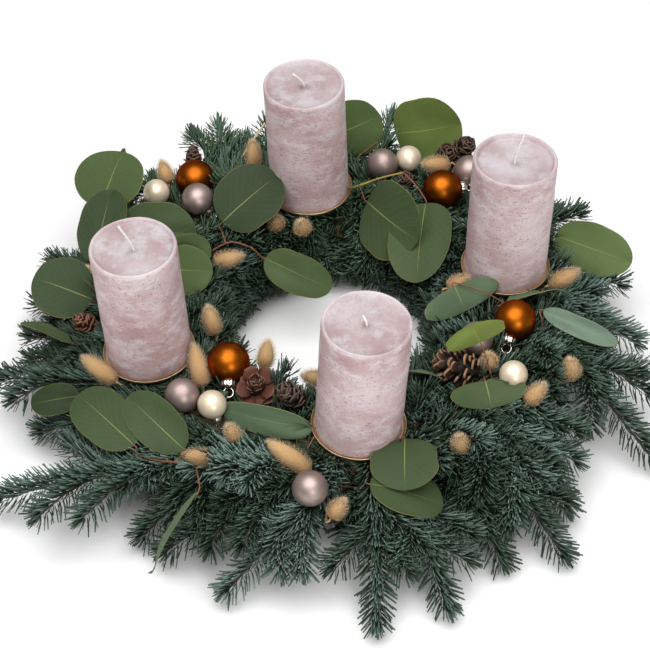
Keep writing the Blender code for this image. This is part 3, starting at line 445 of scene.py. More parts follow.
# Wicks
# Plaited cotton, stiff with wax and never lit. Each comes up through the middle of its
# candle and leans over, a little more or less.
WICKS = {                          # where the tip is from the foot: across, back and up
    "left": (-7.5, 1.0, 19.0), "front": (-3.0, 3.0, 5.0),
    "right": (4.5, 0.0, 22.0), "back": (-7.5, -2.0, 12.0),
}
wick_finish = new_finish("cotton", {"Roughness": 0.6, "Sheen Weight": 0.2})
speckle(wick_finish, 600, 3, (0.3, (0.70, 0.62, 0.60)), (0.65, (0.90, 0.87, 0.85)))
plait = {"Vector": object_place(wick_finish), "Scale": 420.0, "Distortion": 3.0}
plait = node(wick_finish, "TexWave", plait, bands_direction="DIAGONAL")
roughen(wick_finish, plait.outputs["Fac"], 0.15)
for name, tip in WICKS.items():
    mouth = Vector((0, 0, CANDLE_HEIGHT - 1.4)) * MM
    end = mouth + Vector(tip) * MM
    course = [mouth - UP * 9 * MM, mouth, mouth.lerp(end, 0.45) + UP * 1.5 * MM, end]
    wick = tapered(course, 1.6, 0.9, 0.75, 8)
    wick.transform(candle_stand(name))
    wick_piece = add_piece("cotton_wick_" + name, wick, wick_finish)
    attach(wick_piece, "root")
    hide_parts("wick_" + name)


# Eucalyptus
# Seven cut twigs of cider gum, wired on between the candles. Each round leaf is thin and
# leathery, cupped along a yellow midrib, with fine side veins and a thin yellow-red margin.
LEAF_THICK = 0.45 * MM
LEAF_CUP = 0.05                    # how far the edges stand up, by the width
LEAF_BOW = 0.05                    # how far the ends hang down, by the length
LEAF_WAVE = 1.4                    # how uneven a blade is, in millimetres
LEAF_TIP = 0.07                    # how deep a notch or how long a point is, by the length
WAY_ROUNDS = 9                     # in which a blade is bent out of the hard pieces
LEAVES = {      # foot, heading, rise, roll, length, width, shade from dark to yellow-green (partly the leaf's own colour, partly painted light: paler where the lamps light a leaf less), tip
    "left": [
        ((-167, 115, 67), 64, 31, -13, 47, 62, 0.42, "point"),
        ((-168, 64, 59), 78, 25, -8, 60, 37, 0.15, "notch"),
        ((-151, 88, 66), -8, 4, 44, 59, 46, 0.30, "round"),
        ((-166, 19, 65), 165, 15, -26, 45, 45, 0.15, "notch"),
        ((-177, -20, 62), 166, 18, 30, 39, 18, 0.35, "round"),
    ],
    "inner_left": [
        ((-118, 59, 60), 1, 26, 60, 40, 30, 0.42, "round"),
        ((-116, 51, 62), -16, 9, 46, 38, 36, 0.45, "round"),
        ((-74, 93, 70), 32, 24, 17, 55, 51, 0.10, "notch"),
        ((-42, 64, 58), -21, -16, 45, 54, 30, 0.42, "round"),
    ],
    "front_left": [
        ((-171, -64, 52), 177, -16, -36, 37, 22, 0.05, "round"),
        ((-130, -118, 62), 131, 0, -19, 63, 37, 0.30, "round"),
        ((-96, -124, 62), 135, 12, -29, 56, 32, 0.30, "notch"),
        ((-87, -167, 70), -125, -30, 55, 57, 17, 0.84, "point"),
    ],
    "front": [
        ((-10, -114, 65), 160, -1, -66, 66, 22, 0.87, "point"),
        ((53, -124, 68), -92, -15, 5, 38, 46, 0.30, "round"),
        ((30, -155, 60), -6, -20, 2, 52, 38, 0.35, "round"),
    ],
    "back": [
        ((12, 195, 65), 0, 27, 67, 40, 45, 0.45, "notch"),
        ((59, 192, 67), -11, 17, 76, 54, 58, 0.64, "notch"),
        ((33, 115, 67), -55, 5, 56, 62, 57, 0.30, "round"),
        ((78, 107, 74), -98, -12, 12, 72, 48, 0.36, "round"),
    ],
    "right": [
        ((174, 80, 60), -24, -6, 46, 60, 37, 0.55, "notch"),
        ((95, 12, 76), -57, -48, 3, 20, 63, 0.85, "round"),
        ((127, 7, 65), 9, 7, -46, 48, 18, 0.85, "round"),
    ],
    "front_right": [
        ((156, -12, 73), -25, -11, 45, 57, 15, 1.00, "round"),
        ((108, -54, 85), 154, 61, -61, 16, 44, 0.70, "notch"),
        ((111, -72, 67), -80, -20, 1, 21, 53, 0.38, "round"),
        ((57, -60, 67), -16, -2, -44, 26, 20, 0.85, "round"),
    ],
}
STEMS = {       # points along each twig
    "left": [(-136, -51, 47), (-160, -32, 52), (-177, 2, 54), (-177, 21, 55), (-168, 58, 58),
             (-162, 76, 60)],
    "inner_left": [(-96, 52, 55), (-88, 62, 59), (-79, 70, 63), (-66, 73, 67), (-52, 68, 66)],
    "front_left": [(-56, -129, 44), (-74, -136, 53), (-96, -138, 63), (-122, -126, 56),
                   (-154, -96, 48)],
    "front": [(-40, -132, 45), (-18, -133, 48), (2, -145, 47), (34, -148, 45), (53, -133, 48)],
    "back": [(10, 160, 47), (20, 140, 60), (26, 129, 69), (44, 130, 76), (63, 132, 80)],
    "right": [(150, 83, 47), (172, 66, 52), (175, 33, 52), (157, 8, 54), (139, 4, 58)],
    "front_right": [(72, -70, 48), (100, -80, 51), (123, -67, 51), (142, -51, 51),
                    (157, -23, 56)],
}


def millimetres(points):
    """Points given in millimetres, as places in the scene."""
    return [Vector(point) * MM for point in points]


def smooth_points(course, pitch):
    """The points alone of a smooth curve through a course."""
    return [point for point, _, _ in smooth_walk(course, pitch)]


def pointing(heading, rise):
    """A direction, by its heading seen from above and its rise, both in degrees."""
    heading, rise = radians(heading), radians(rise)
    return Vector((cos(heading) * cos(rise), sin(heading) * cos(rise), sin(rise)))


def solids_of(meshes):
    """The surfaces of some meshes together, to keep clear of."""
    points, faces = [], []
    for mesh in meshes:
        first = len(points)
        points += [vert.co.copy() for vert in mesh.vertices]
        faces += [[first + i for i in face.vertices] for face in mesh.polygons]
    return BVHTree.FromPolygons(points, faces)


def nodes_called(*starts):
    """The meshes of the frame's nodes with names that start so."""
    return [solid.data for name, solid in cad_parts.items() if name.startswith(starts)]


def new_leaf(heading, rise, roll, length, width, tip):
    """A blade with its foot at the origin, as a sheet whose points know where on it they are."""
    ahead = pointing(heading, rise)
    level = Vector((-sin(radians(heading)), cos(radians(heading)), 0))
    side = level * cos(radians(roll)) + ahead.cross(level) * sin(radians(roll))
    seat = Matrix((ahead, side, ahead.cross(side))).transposed().to_4x4()
    shape = bmesh.new()
    bmesh.ops.create_grid(shape, x_segments=20, y_segments=14, size=0.5)
    layers = [shape.verts.layers.float.new(name) for name in ("along", "across")]
    for vert in shape.verts:
        along = (1 - cos(pi * (vert.co.x + 0.5))) / 2      # points lie closer at both ends
        across = sin(pi * vert.co.y)                       # and at the edges
        vert[layers[0]], vert[layers[1]] = along, across
        half = max(0, 1 - abs(2 * along ** 0.95 - 1) ** 2.3) ** 0.5
        half *= 1 + 0.09 * noise.noise(Vector((along * 3.5, 5 if across > 0 else -5, heading)))
        reach = along
        if tip == "notch":
            reach -= LEAF_TIP * along ** 6 * hump(across / 0.35)
        elif tip == "point":
            reach += LEAF_TIP * along ** 8 * hump(across / 0.3)
        bent = LEAF_CUP * abs(across * half) * width - LEAF_BOW * length * (2 * along - 1) ** 2
        wave = noise.noise(Vector((along * 1.9, across * half * 1.6, heading)))
        bent += LEAF_WAVE * wave * half
        vert.co = Vector((reach * length, across * half * width / 2, bent)) * MM
    bmesh.ops.remove_doubles(shape, verts=shape.verts, dist=0.02 * MM)
    shape.transform(seat)
    return shape, seat


def make_way(shape, solids, need):
    """Bends a sheet out of the hard pieces, and evens out the part round what was pushed."""
    for turn in range(WAY_ROUNDS):
        pushed = set()
        for vert in shape.verts:
            spot, normal, _, far = solids.find_nearest(vert.co)
            off = vert.co - spot
            if off.dot(normal) < 0 and far < 12 * MM:
                vert.co = spot + normal * need
                pushed.add(vert)
            elif far < need:
                vert.co = spot + off.normalized() * need
                pushed.add(vert)
        for _ in range(2):
            pushed.update([edge.other_vert(vert) for vert in pushed for edge in vert.link_edges])
        inner = [vert for vert in shape.verts if vert in pushed and not vert.is_boundary]
        if inner and turn < WAY_ROUNDS - 1:
            bmesh.ops.smooth_vert(shape, verts=inner, factor=0.5, use_axis_x=True,
                                  use_axis_y=True, use_axis_z=True)


hard_pieces = solids_of(nodes_called("bauble", "candle"))
leaf_finish = new_finish("eucalyptus_leaf", {
    "Roughness": 0.55, "Specular IOR Level": 0.15, "Sheen Weight": 0.03,
    "Subsurface Weight": 0.05, "Subsurface Radius": (0.4, 1.0, 0.2), "Subsurface Scale": 2 * MM,
})
leaf_place = object_place(leaf_finish)
leaf_tone_and_painted_light = carried(leaf_finish, "tone")
leaf_along = carried(leaf_finish, "along")
leaf_across = figure(leaf_finish, "ABSOLUTE", carried(leaf_finish, "across"))
# The pale blue-green at the top end of the shade scale is painted sheen, for a leaf seen at a
# grazing angle; high shades also stand in part for painted light on leaves the lamps light less.
leaf_colour = grade(leaf_finish, leaf_tone_and_painted_light, (0.0, (0.015, 0.027, 0.009)),
                    (0.35, (0.045, 0.070, 0.026)), (0.6, (0.112, 0.155, 0.050)),
                    (0.7, (0.158, 0.208, 0.040)), (0.85, (0.095, 0.145, 0.080)),
                    (1.0, (0.140, 0.205, 0.150)))
leaf_clouds = mottle(leaf_finish, leaf_place, 60, 4)
leaf_colour = tint(leaf_finish, leaf_colour, leaf_clouds, 0.22, (0.062, 0.088, 0.046))
veins = figure(leaf_finish, "MULTIPLY_ADD", leaf_across, -0.42, leaf_along)
veins = figure(leaf_finish, "MULTIPLY_ADD", leaf_clouds, 0.06, veins)
veins = figure(leaf_finish, "FRACT", figure(leaf_finish, "MULTIPLY", veins, 9.0))
veins = figure(leaf_finish, "ABSOLUTE", figure(leaf_finish, "SUBTRACT", veins, 0.5))
veins = grade(leaf_finish, veins, (0.0, (1, 1, 1)), (0.07, (0, 0, 0)))
leaf_colour = tint(leaf_finish, leaf_colour, veins, 0.10, (0.17, 0.23, 0.10))
rib_width = figure(leaf_finish, "MULTIPLY_ADD", leaf_along, -0.022, 0.022)
rib = figure(leaf_finish, "LESS_THAN", leaf_across, rib_width)
leaf_colour = tint(leaf_finish, leaf_colour, rib, 0.6, (0.30, 0.33, 0.10))
rim = threshold(leaf_finish, carried(leaf_finish, "rim"), 0.2, 0.9)
leaf_colour = tint(leaf_finish, leaf_colour, rim, 0.6, (0.30, 0.22, 0.06))
spots = threshold(leaf_finish, mottle(leaf_finish, leaf_place, 330, 2), 0.68, 0.74)
leaf_colour = tint(leaf_finish, leaf_colour, spots, 0.4, (0.07, 0.045, 0.02))
feed(leaf_finish, "Base Color", leaf_colour)
roughen(leaf_finish, blend(leaf_finish, 0.4, leaf_clouds, veins), 0.18)

stem_finish = new_finish("eucalyptus_stem", {"Roughness": 0.5})
stem_marks = mottle(stem_finish, object_place(stem_finish), 160, 3)
stem_colour = grade(stem_finish, carried(stem_finish, "tone"), (0.0, (0.12, 0.028, 0.012)),
                    (0.5, (0.30, 0.085, 0.045)), (1.0, (0.42, 0.33, 0.04)))
stem_colour = tint(stem_finish, stem_colour, stem_marks, 0.5, (0.10, 0.06, 0.02))
feed(stem_finish, "Base Color", stem_colour)
roughen(stem_finish, stem_marks, 0.15)

leaf_meshes = []
for name, leaves in LEAVES.items():
    blades, stalks = bmesh.new(), bmesh.new()
    stem = millimetres(STEMS[name])
    lay_in(stalks, tapered(stem, 5, 0.95, 0.6, 8), 0.9 if name == "back" else 0.1)
    for foot, heading, rise, roll, length, width, shade, tip in leaves:
        foot = Vector(foot) * MM
        blade, seat = new_leaf(heading, rise, roll, length, width, tip)
        blade.transform(Matrix.Translation(foot - seat.col[2].to_3d() * 0.4 * MM))
        make_way(blade, hard_pieces, 0.7 * MM)
        rim_layer = blade.verts.layers.float.new("rim")
        for vert in blade.verts:
            vert[rim_layer] = 1.0 if vert.is_boundary else 0.0
        foot = min(blade.verts, key=lambda v: v[blade.verts.layers.float["along"]]).co.copy()
        bmesh.ops.solidify(blade, geom=blade.faces, thickness=LEAF_THICK)
        bmesh.ops.recalc_face_normals(blade, faces=blade.faces)
        lay_in(blades, blade, shade)
        ahead = seat.col[0].to_3d()
        joint = min(smooth_points(stem, 5 * MM), key=lambda p: (p - foot).length)
        neck = foot - ahead * 3 * MM - UP * 0.3 * MM
        bow = joint.lerp(neck, 0.5) + UP * 0.08 * (neck - joint).length
        course = [joint, bow, neck, foot + ahead * 4 * MM - seat.col[2].to_3d() * 0.7 * MM]
        lay_in(stalks, tapered(course, 3, 0.6, 0.45, 6), 0.3)
    blade_piece = add_piece("eucalyptus_leaves_" + name, blades, leaf_finish)
    leaf_meshes.append(blade_piece.data)
    stalk_piece = add_piece("eucalyptus_stems_" + name, stalks, stem_finish)
    for piece in (blade_piece, stalk_piece):
        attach(piece, "root")
        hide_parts("eucalyptus_" + name)


# Baubles
# Blown glass balls, silvered inside and lacquered matt outside, in three sizes and colours.
# Each has a crimped metal cap with a wire loop. A wire pick holds it down in the fir.
BAUBLES = {     # middle of the ball, heading and rise of its cap
    "copper_back_left": ((-95.5, 148.4, 64), -98, -25),
    "rose_back_left": ((-92.5, 119.6, 69), -20, -50),
    "cream_back_left": ((-124.3, 131.4, 66), 100, -35),
    "rose_back_right": ((48.3, 156.5, 68), 100, -55),
    "cream_back_right": ((68.8, 164.4, 66), 80, -60),
    "copper_back_right": ((92.5, 123.0, 70), 12, -8),
    "rose_right_back": ((114.1, 142.8, 70.9), 50, -50),
    "copper_right": ((136.0, -17.7, 70), -112, -27),
    "rose_right": ((107.4, -32.8, 68), 120, -50),
    "cream_right": ((130.8, -66.7, 66), 20, -60),
    "copper_front_left": ((-65.9, -51.2, 68), -91, -25),
    "rose_front_left": ((-97.4, -80.5, 67.2), -120, -60),
    "cream_front_left": ((-76.7, -89.5, 67.1), -60, -60),
    "rose_front": ((-10.6, -163.3, 64), 60, -40),
}
BALL_SIZES = {"copper": 29.5, "rose": 24.0, "cream": 20.0}           # across
LACQUERS = {    # from the darker to the lighter of its colours, how metallic, how rough
    "copper": ((0.28, 0.064, 0.002), (0.38, 0.098, 0.004), 1.0, 0.38),
    "rose": ((0.34, 0.260, 0.235), (0.44, 0.345, 0.315), 0.8, 0.46),
    "cream": ((0.72, 0.60, 0.43), (0.82, 0.72, 0.56), 0.4, 0.42),
}
CRIMPS = 12
lacquers = {}
for colour, (darker, lighter, metallic, rough) in LACQUERS.items():
    lacquer = new_finish("lacquer_" + colour, {
        "Metallic": metallic, "Roughness": rough, "Coat Weight": 0.08, "Coat Roughness": 0.25,
        "Specular Tint": (*darker, 1),
    })
    speckle(lacquer, 110, 3, (0.35, darker), (0.65, lighter))
    roughen(lacquer, mottle(lacquer, object_place(lacquer), 2600, 2), 0.03)
    lacquers[colour] = lacquer

cap_finish = new_finish("silver", {"Metallic": 1.0, "Roughness": 0.28})
cap_marks = speckle(cap_finish, 400, 3, (0.35, (0.62, 0.58, 0.52)), (0.65, (0.88, 0.86, 0.82)))
feed(cap_finish, "Roughness", figure(cap_finish, "MULTIPLY_ADD", cap_marks, 0.2, 0.18))

loop_room = bmesh.new()             # where no needle goes, so that the wire loops stay in sight
for name, (middle, heading, rise) in BAUBLES.items():
    colour = name.split("_")[0]
    radius = BALL_SIZES[colour] / 2
    seat = Matrix.Translation(Vector(middle) * MM) @ facing(pointing(heading, rise))
    ball = bmesh.new()
    bmesh.ops.create_uvsphere(ball, u_segments=44, v_segments=28, radius=radius * MM)
    ball.transform(seat)
    ball_piece = add_piece("ball_" + name, ball, lacquers[colour])
    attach(ball_piece, "root")
    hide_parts("bauble_" + name)

    size = BALL_SIZES[colour] / BALL_SIZES["copper"]
    neck = radius - 0.9 * size
    cap = turned([(0, neck), (4.9 * size, neck), (5.2 * size, neck + 0.5), (5.1 * size, neck + 3.4),
                  (4.5 * size, neck + 4.4), (2.6 * size, neck + 5.0), (1.0, neck + 5.3),
                  (0, neck + 5.3)], 48)
    for vert in cap.verts:
        if vert.co.z < (neck + 4) * MM and vert.co.xy.length > 4 * size * MM:
            vert.co.xy *= 1 + 0.06 * cos(CRIMPS * atan2(vert.co.y, vert.co.x))
    loop = bmesh.new()
    high = neck + 5.3 + 2.8 * size
    bmesh.ops.create_circle(loop, segments=10, radius=0.5 * MM, matrix=Matrix.Translation(
        (3.4 * size * MM, 0, high * MM)))
    spin_round(loop, (0, 0, high * MM), (0, 1, 0), 40)
    bmesh.ops.create_icosphere(loop_room, subdivisions=1, radius=4.2 * size * MM,
                               matrix=seat @ Matrix.Translation((0, 0, high * MM)))
    metal = bmesh.new()
    lay_in(metal, cap, 0.5)
    lay_in(metal, loop, 0.5)
    metal.transform(seat)
    cap_piece = add_piece("cap_" + name, metal, cap_finish)
    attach(cap_piece, "root")
    if colour == "copper":
        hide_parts("bauble_cap_" + name)
    else:
        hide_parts("bauble_" + name)
loop_room_mesh = as_mesh("loop_room", loop_room)


# Cones
# Dried larch and pine cones, each on a wire pick. Woody scales stand in spirals round a
# core: thin and rounded on the small cones, thick with a pale worn edge on the pine cone.
CONES = {       # foot, heading, rise, length, width, scales, how open, look
    "back_left": [((-97.4, 170.3, 54), 95, 45, 19, 15, 44, 62, "dark")],
    "pair_back_right": [
        ((97.5, 165.9, 63), -80, 62, 18, 19, 36, 72, "dark"),
        ((108.1, 165.0, 69), -40, 65, 20, 19, 38, 66, "dark"),
    ],
    "pair_back": [
        ((66.4, 146.7, 57.3), -110, 60, 15, 13, 42, 60, "dark"),
        ((88.0, 155.5, 52.3), 80, 60, 14, 12, 40, 60, "dark"),
    ],
    "left": [((-164.4, 0.2, 54), 200, 50, 20, 16, 46, 60, "red")],
    "open_front": [((-45.7, -67.7, 55), -110, 74, 22, 27, 40, 80, "red")],
    "front": [((-15.3, -78.9, 58), 195, 48, 25, 19, 54, 48, "grey")],
    "right": [((105.5, -59.4, 62), 165, 9, 31, 28, 46, 78, "pine")],
}
CONE_LOOKS = {  # inner colour (near each scale's foot, partly its own colour and partly painted shade), outer colour, edge colour, thickness of a scale
    "dark": ((0.014, 0.007, 0.005), (0.060, 0.032, 0.020), (0.14, 0.09, 0.06), 0.8),
    "red": ((0.020, 0.005, 0.003), (0.120, 0.036, 0.018), (0.27, 0.14, 0.08), 0.7),
    "grey": ((0.014, 0.009, 0.007), (0.060, 0.040, 0.028), (0.14, 0.10, 0.075), 0.9),
    "pine": ((0.004, 0.002, 0.001), (0.045, 0.020, 0.010), (0.36, 0.20, 0.10), 1.15),
}


def cone_scale(length, width, thick):
    """One scale: a rounded plate on a narrow foot, curled up and thickened at its edge."""
    shape = bmesh.new()
    bmesh.ops.create_grid(shape, x_segments=4, y_segments=5, size=0.5)
    layer = shape.verts.layers.float.new("along")
    for vert in shape.verts:
        along, across = vert.co.y + 0.5, vert.co.x * 2
        vert[layer] = along
        half = width / 2 * (0.3 + 0.7 * sin(pi / 2 * min(1, along * 1.4)))
        chipped = 0.20 * noise.noise(Vector((across * 1.7, length * 9, 0)))
        reach = along * length * (1 - (0.24 * across * across - chipped) * along)
        curl = 0.22 * along * along - 0.10 * across * across * along
        vert.co = Vector((across * half, reach, curl * length)) * MM
    upper = shape.verts[:]
    bmesh.ops.solidify(shape, geom=shape.faces, thickness=thick * MM)
    for vert in upper:
        if vert[layer] > 0.7:
            vert.co.z += thick * 0.35 * MM
    bmesh.ops.recalc_face_normals(shape, faces=shape.faces)
    return shape


CORE_STEPS = 6
GOLDEN_TURN = 2.39996              # from one scale to the next round the core, as they grow
cone_finishes = {}
for look, (inner, outer, edge, _) in CONE_LOOKS.items():
    bark = new_finish("cone_" + look, {"Roughness": 0.62, "Specular IOR Level": 0.35})
    bark_marks = mottle(bark, object_place(bark), 380, 5, 0.6)
    # Each scale is darker towards its foot: partly its own colour, partly painted shade deep in the
    # cone.
    bark_colour = grade(bark, carried(bark, "along"), (0.15, inner), (0.7, outer), (0.93, outer),
                        (1.0, edge))
    bark_colour = tint(bark, bark_colour, bark_marks, 0.6, [0.35 * share for share in outer])
    feed(bark, "Base Color", bark_colour)
    roughen(bark, bark_marks, 0.5)
    cone_finishes[look] = bark

draw = np.random.default_rng(31)
for name, cones in CONES.items():
    cluster = bmesh.new()
    for foot, heading, rise, length, width, scales, opening, look in cones:
        seat = Matrix.Translation(Vector(foot) * MM) @ facing(pointing(heading, rise))
        shares = [k / CORE_STEPS for k in range(CORE_STEPS + 1)]
        core = [seat @ Vector((0, 0, length * 0.9 * share * MM)) for share in shares]
        sizes = [width * MM * (0.10 + 0.14 * sin(pi * (0.15 + 0.75 * share))) for share in shares]
        sizes[-1] *= 0.3
        lay_in(cluster, rod(core, sizes, 8), 0.2)
        for i in range(scales):
            share = (i + 0.5) / scales
            belly = sin(pi * (0.24 + 0.66 * share)) ** 0.8
            if name == "open_front":
                belly = 1.05 if share < 0.42 else 0.60 - 0.30 * share
            reach = width * 0.44 * belly * draw.uniform(0.85, 1.12)
            thick = CONE_LOOKS[look][3] * (0.7 + 0.3 * belly)
            scale = cone_scale(reach, reach * (0.64 if look == "pine" else 0.95), thick)
            lean = opening + 18 - (opening + 2) * share ** 1.6 + draw.uniform(-15, 15)
            lift = Matrix.Rotation(radians(90 - lean), 4, "X")
            out = Matrix.Translation((0, width * 0.07 * MM, 0))
            high = Matrix.Translation((0, 0, length * (0.05 + 0.80 * share) * MM))
            around = i * GOLDEN_TURN + draw.uniform(-0.25, 0.25)
            scale.transform(seat @ high @ Matrix.Rotation(around, 4, "Z") @ out @ lift)
            lay_in(cluster, scale, draw.uniform(0, 1))
    if len(cones) > 1:
        feet = millimetres(cone[0] for cone in cones)
        low = (feet[0] + feet[1]) / 2 - UP * 4 * MM
        lay_in(cluster, rod([feet[0], low, feet[1]], [1.4 * MM] * 3, 8), 0.3)
    cone_piece = add_piece("dried_cone_" + name, cluster, cone_finishes[look])
    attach(cone_piece, "root")
    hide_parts("cone_" + name)


# Bunny tails
# Dried heads of bunny tail grass, undyed. Each is an egg of soft cream awns on a stem like
# a straw. The stems run together along the ring's shoulders under the fir.
TAIL_RADIUS = 5.4
TAIL_HEADS = {  # foot of the head, heading, rise, length
    "inner_left": [((-32, 97, 58), -155, 75, 12), ((-12, 91, 58), -156, 74, 12),
                   ((-81, 62, 56), 9, 10, 23), ((-77, -15, 58), 112, 58, 21)],
    "outer_left": [((-51, 162, 62), 91, 47, 20), ((-116, 150, 58), 114, 40, 17),
                   ((-169, 33, 59), 96, 43, 16), ((-144, -58, 58), 145, 16, 30)],
    "front": [((-59, -116, 57), 122, 25, 13), ((-75, -128, 56), 176, 3, 20),
              ((-10, -143, 57), 144, 12, 36), ((2, -173, 45), 30, 44, 15)],
    "inner_front": [((-84, -65, 58), 104, 30, 31), ((-42, -46, 56), 66, 65, 20),
                    ((1, -64, 61), 174, 15, 15)],
    "inner_right": [((90, 19, 66), 20, 18, 17), ((117, -52, 56), 127, 69, 12)],
    "right": [((100, 150, 71), -166, 15, 22), ((164, 28, 58), 23, 13, 25),
              ((174, -57, 52), -158, 76, 19), ((138, -86, 57), 38, 26, 18),
              ((92, -124, 54), -149, 78, 15)],
}
TAIL_COURSES = {  # from which angle to which the stems run, how far out and how high
    "inner_left": (103, 200, 113.0, 48.5), "outer_left": (111, 206, 152.5, 42.5),
    "front": (-118.6, -91, 152.5, 42.5), "inner_front": (-138, -93, 113.0, 48.5),
    "inner_right": (-31, 3, 113.0, 48.5), "right": (-58, 55, 152.5, 42.5),
}
TAIL_STEPS = 24                    # in the course that a bunch's stems share
TAIL_TAPER = 0.18
AWNS = 860
AWN_LENGTH = 4.4 * MM
STRAY_STALK = [(-41.7, 194, 80), (-54, 176, 73), (-65.8, 157.7, 65), (-70, 150, 50)]

tail_finish = new_finish("bunny_tail", {
    "Roughness": 0.75, "Sheen Weight": 0.35, "Sheen Roughness": 0.4, "Subsurface Weight": 0.1,
    "Subsurface Radius": (1.0, 0.7, 0.4), "Subsurface Scale": 2 * MM,
})
tail_clouds = mottle(tail_finish, object_place(tail_finish), 90, 3)
tail_colour = grade(tail_finish, carried(tail_finish, "along"), (0.0, (0.29, 0.15, 0.055)),
                    (0.45, (0.54, 0.36, 0.16)), (1.0, (0.80, 0.64, 0.40)))
tail_colour = tint(tail_finish, tail_colour, tail_clouds, 0.5, (0.62, 0.36, 0.15))
tail_colour = blend(tail_finish, carried(tail_finish, "tone"), tail_colour, (0.30, 0.16, 0.06, 1))
feed(tail_finish, "Base Color", tail_colour)
roughen(tail_finish, mottle(tail_finish, object_place(tail_finish), 1500, 3), 0.2)


def stamp_of(name, shape):
    """A small mesh to plant many times over, and its points as they were made."""
    mesh = as_mesh(name, shape)
    flat = np.empty(len(mesh.vertices) * 3, dtype=np.float32)
    mesh.vertices.foreach_get("co", flat)
    return mesh, flat


def plant(bundle, stamp, seat, tone):
    """Adds one copy of a stamp to a bundle, in its place and with its tone."""
    mesh, flat = stamp
    mesh.vertices.foreach_set("co", flat)
    mesh.transform(seat)
    mesh.attributes["tone"].data.foreach_set("value", [tone] * len(mesh.vertices))
    bundle.from_mesh(mesh)


def dry_stem(course, size, paleness):
    """A stem like a straw."""
    stem = rod(course, [size * MM] * len(course), 6)
    mark(stem, "along", paleness)
    return stem


awn_shape = bmesh.new()
bmesh.ops.create_cone(awn_shape, cap_ends=True, segments=3, radius1=0.13 * MM, radius2=0,
                      depth=AWN_LENGTH, matrix=Matrix.Translation((0, 0, AWN_LENGTH / 2)))
bmesh.ops.remove_doubles(awn_shape, verts=awn_shape.verts, dist=0.001 * MM)
mark(awn_shape, "along", 0)
mark(awn_shape, "tone", 0)
awn = stamp_of("awn", awn_shape)
awn_along = awn[1][2::3] / AWN_LENGTH
head_bodies = bmesh.new()

for name, heads in TAIL_HEADS.items():
    tails = bmesh.new()
    start, end, out, high = TAIL_COURSES[name]
    shared = []
    for k in range(TAIL_STEPS + 1):
        turn = radians(start + (end - start) * k / TAIL_STEPS)
        shared.append(RING_MIDDLE + Vector((out * cos(turn), out * sin(turn), high)) * MM)
    lay_in(tails, dry_stem(shared, 0.8, 0.1), 0.6)
    for foot, heading, rise, length in heads:
        foot = Vector(foot) * MM
        axis = pointing(heading, rise)
        seat = Matrix.Translation(foot) @ facing(axis)
        joint = min(shared, key=lambda p: (p - foot).length)
        stem = smooth_points([joint, foot - axis * 4 * MM, foot + axis * 3 * MM], 3 * MM)
        lay_in(tails, dry_stem(stem, 0.75, 0.3), 0.3)
        body = bmesh.new()
        bmesh.ops.create_uvsphere(body, u_segments=16, v_segments=12, radius=1.0)
        body_layer = body.verts.layers.float.new("along")
        fat = TAIL_RADIUS * (0.68 + 0.014 * length)
        for vert in body.verts:
            vert[body_layer] = 0.30 + 0.25 * vert.co.z
            swell = fat * (1 - TAIL_TAPER * vert.co.z)
            vert.co = Vector((vert.co.x * swell, vert.co.y * swell,
                              (vert.co.z + 1) * length / 2)) * MM
        body.transform(seat)
        lay_in(head_bodies, body.copy(), 0)
        lay_in(tails, body, 0.1)
        for k in range(AWNS):
            share = (k + 0.5) / AWNS
            high_up = -cos(pi * min(1, share ** 0.9))
            around = k * GOLDEN_TURN
            flat_out = (1 - high_up * high_up) ** 0.5
            swell = flat_out * fat * (1 - TAIL_TAPER * high_up)
            spot = Vector((cos(around) * swell, sin(around) * swell,
                           (high_up + 1) * length / 2)) * MM * 0.96
            way = Vector((cos(around) * flat_out, sin(around) * flat_out,
                          0.75 + 0.5 * high_up)).normalized()
            way = (way + Vector(draw.uniform(-0.25, 0.25, 3))).normalized()
            size = Matrix.Scale(draw.uniform(0.7, 1.25), 4)
            awn[0].attributes["along"].data.foreach_set(
                "value", awn_along * 0.4 + (0.15 + 0.22 * (high_up + 1)))
            plant(tails, awn, seat @ Matrix.Translation(spot) @ facing(way) @ size,
                  max(0, draw.uniform(-0.35, 0.45)))
    if name == "outer_left":
        lay_in(tails, dry_stem(millimetres(STRAY_STALK), 0.7, 0.9), 0.1)
    tail_piece = add_piece("bunny_tail_heads_" + name, tails, tail_finish)
    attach(tail_piece, "root")
    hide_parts("bunny_tails_" + name)
head_mesh = as_mesh("tail_heads_alone", head_bodies)


# Fir
# Sprigs of noble fir, cut and bound on in eight bunches that point outwards round the
# ring. Their flat needles, 17 mm long, stand thick all round the twig and curl up and on.
# Short tufts fill in between, on the ring's top and on both its shoulders.
NEEDLE_LENGTH = 16.5 * MM
NEEDLE_WIDTH = 1.05 * MM           # half of it, at its widest
NEEDLE_PITCH = 0.33 * MM           # along a sprig, from one needle to the next
NEEDLE_GAP = 1.8 * MM              # left before a piece that a needle would run into
NEEDLE_SHORTEST = 5 * MM
NEEDLES_BETWEEN = 7900             # between the sprigs, close on the straw
HOLE = 68 * MM                     # how far from the ring's middle the hole stays free
BRUSH = 26                         # short needles at the end of a sprig
SHOOT_SIZES = [1.1 * MM, 0.9 * MM, 0.6 * MM]
FROM_FRONT = Vector((0, 0.7, -0.714))        # needles leave what lies on the fir in sight:
CLEAR_BELOW = 26 * MM              # none stands less than this above it,
CLEAR_BEHIND = 20 * MM             # or less than this in front of it
BUNCH_MIDDLES = {
    "left": 180, "front_left": -135, "front": -90, "front_right": -45,
    "right": 0, "back_right": 45, "back": 90, "back_left": 135,
}
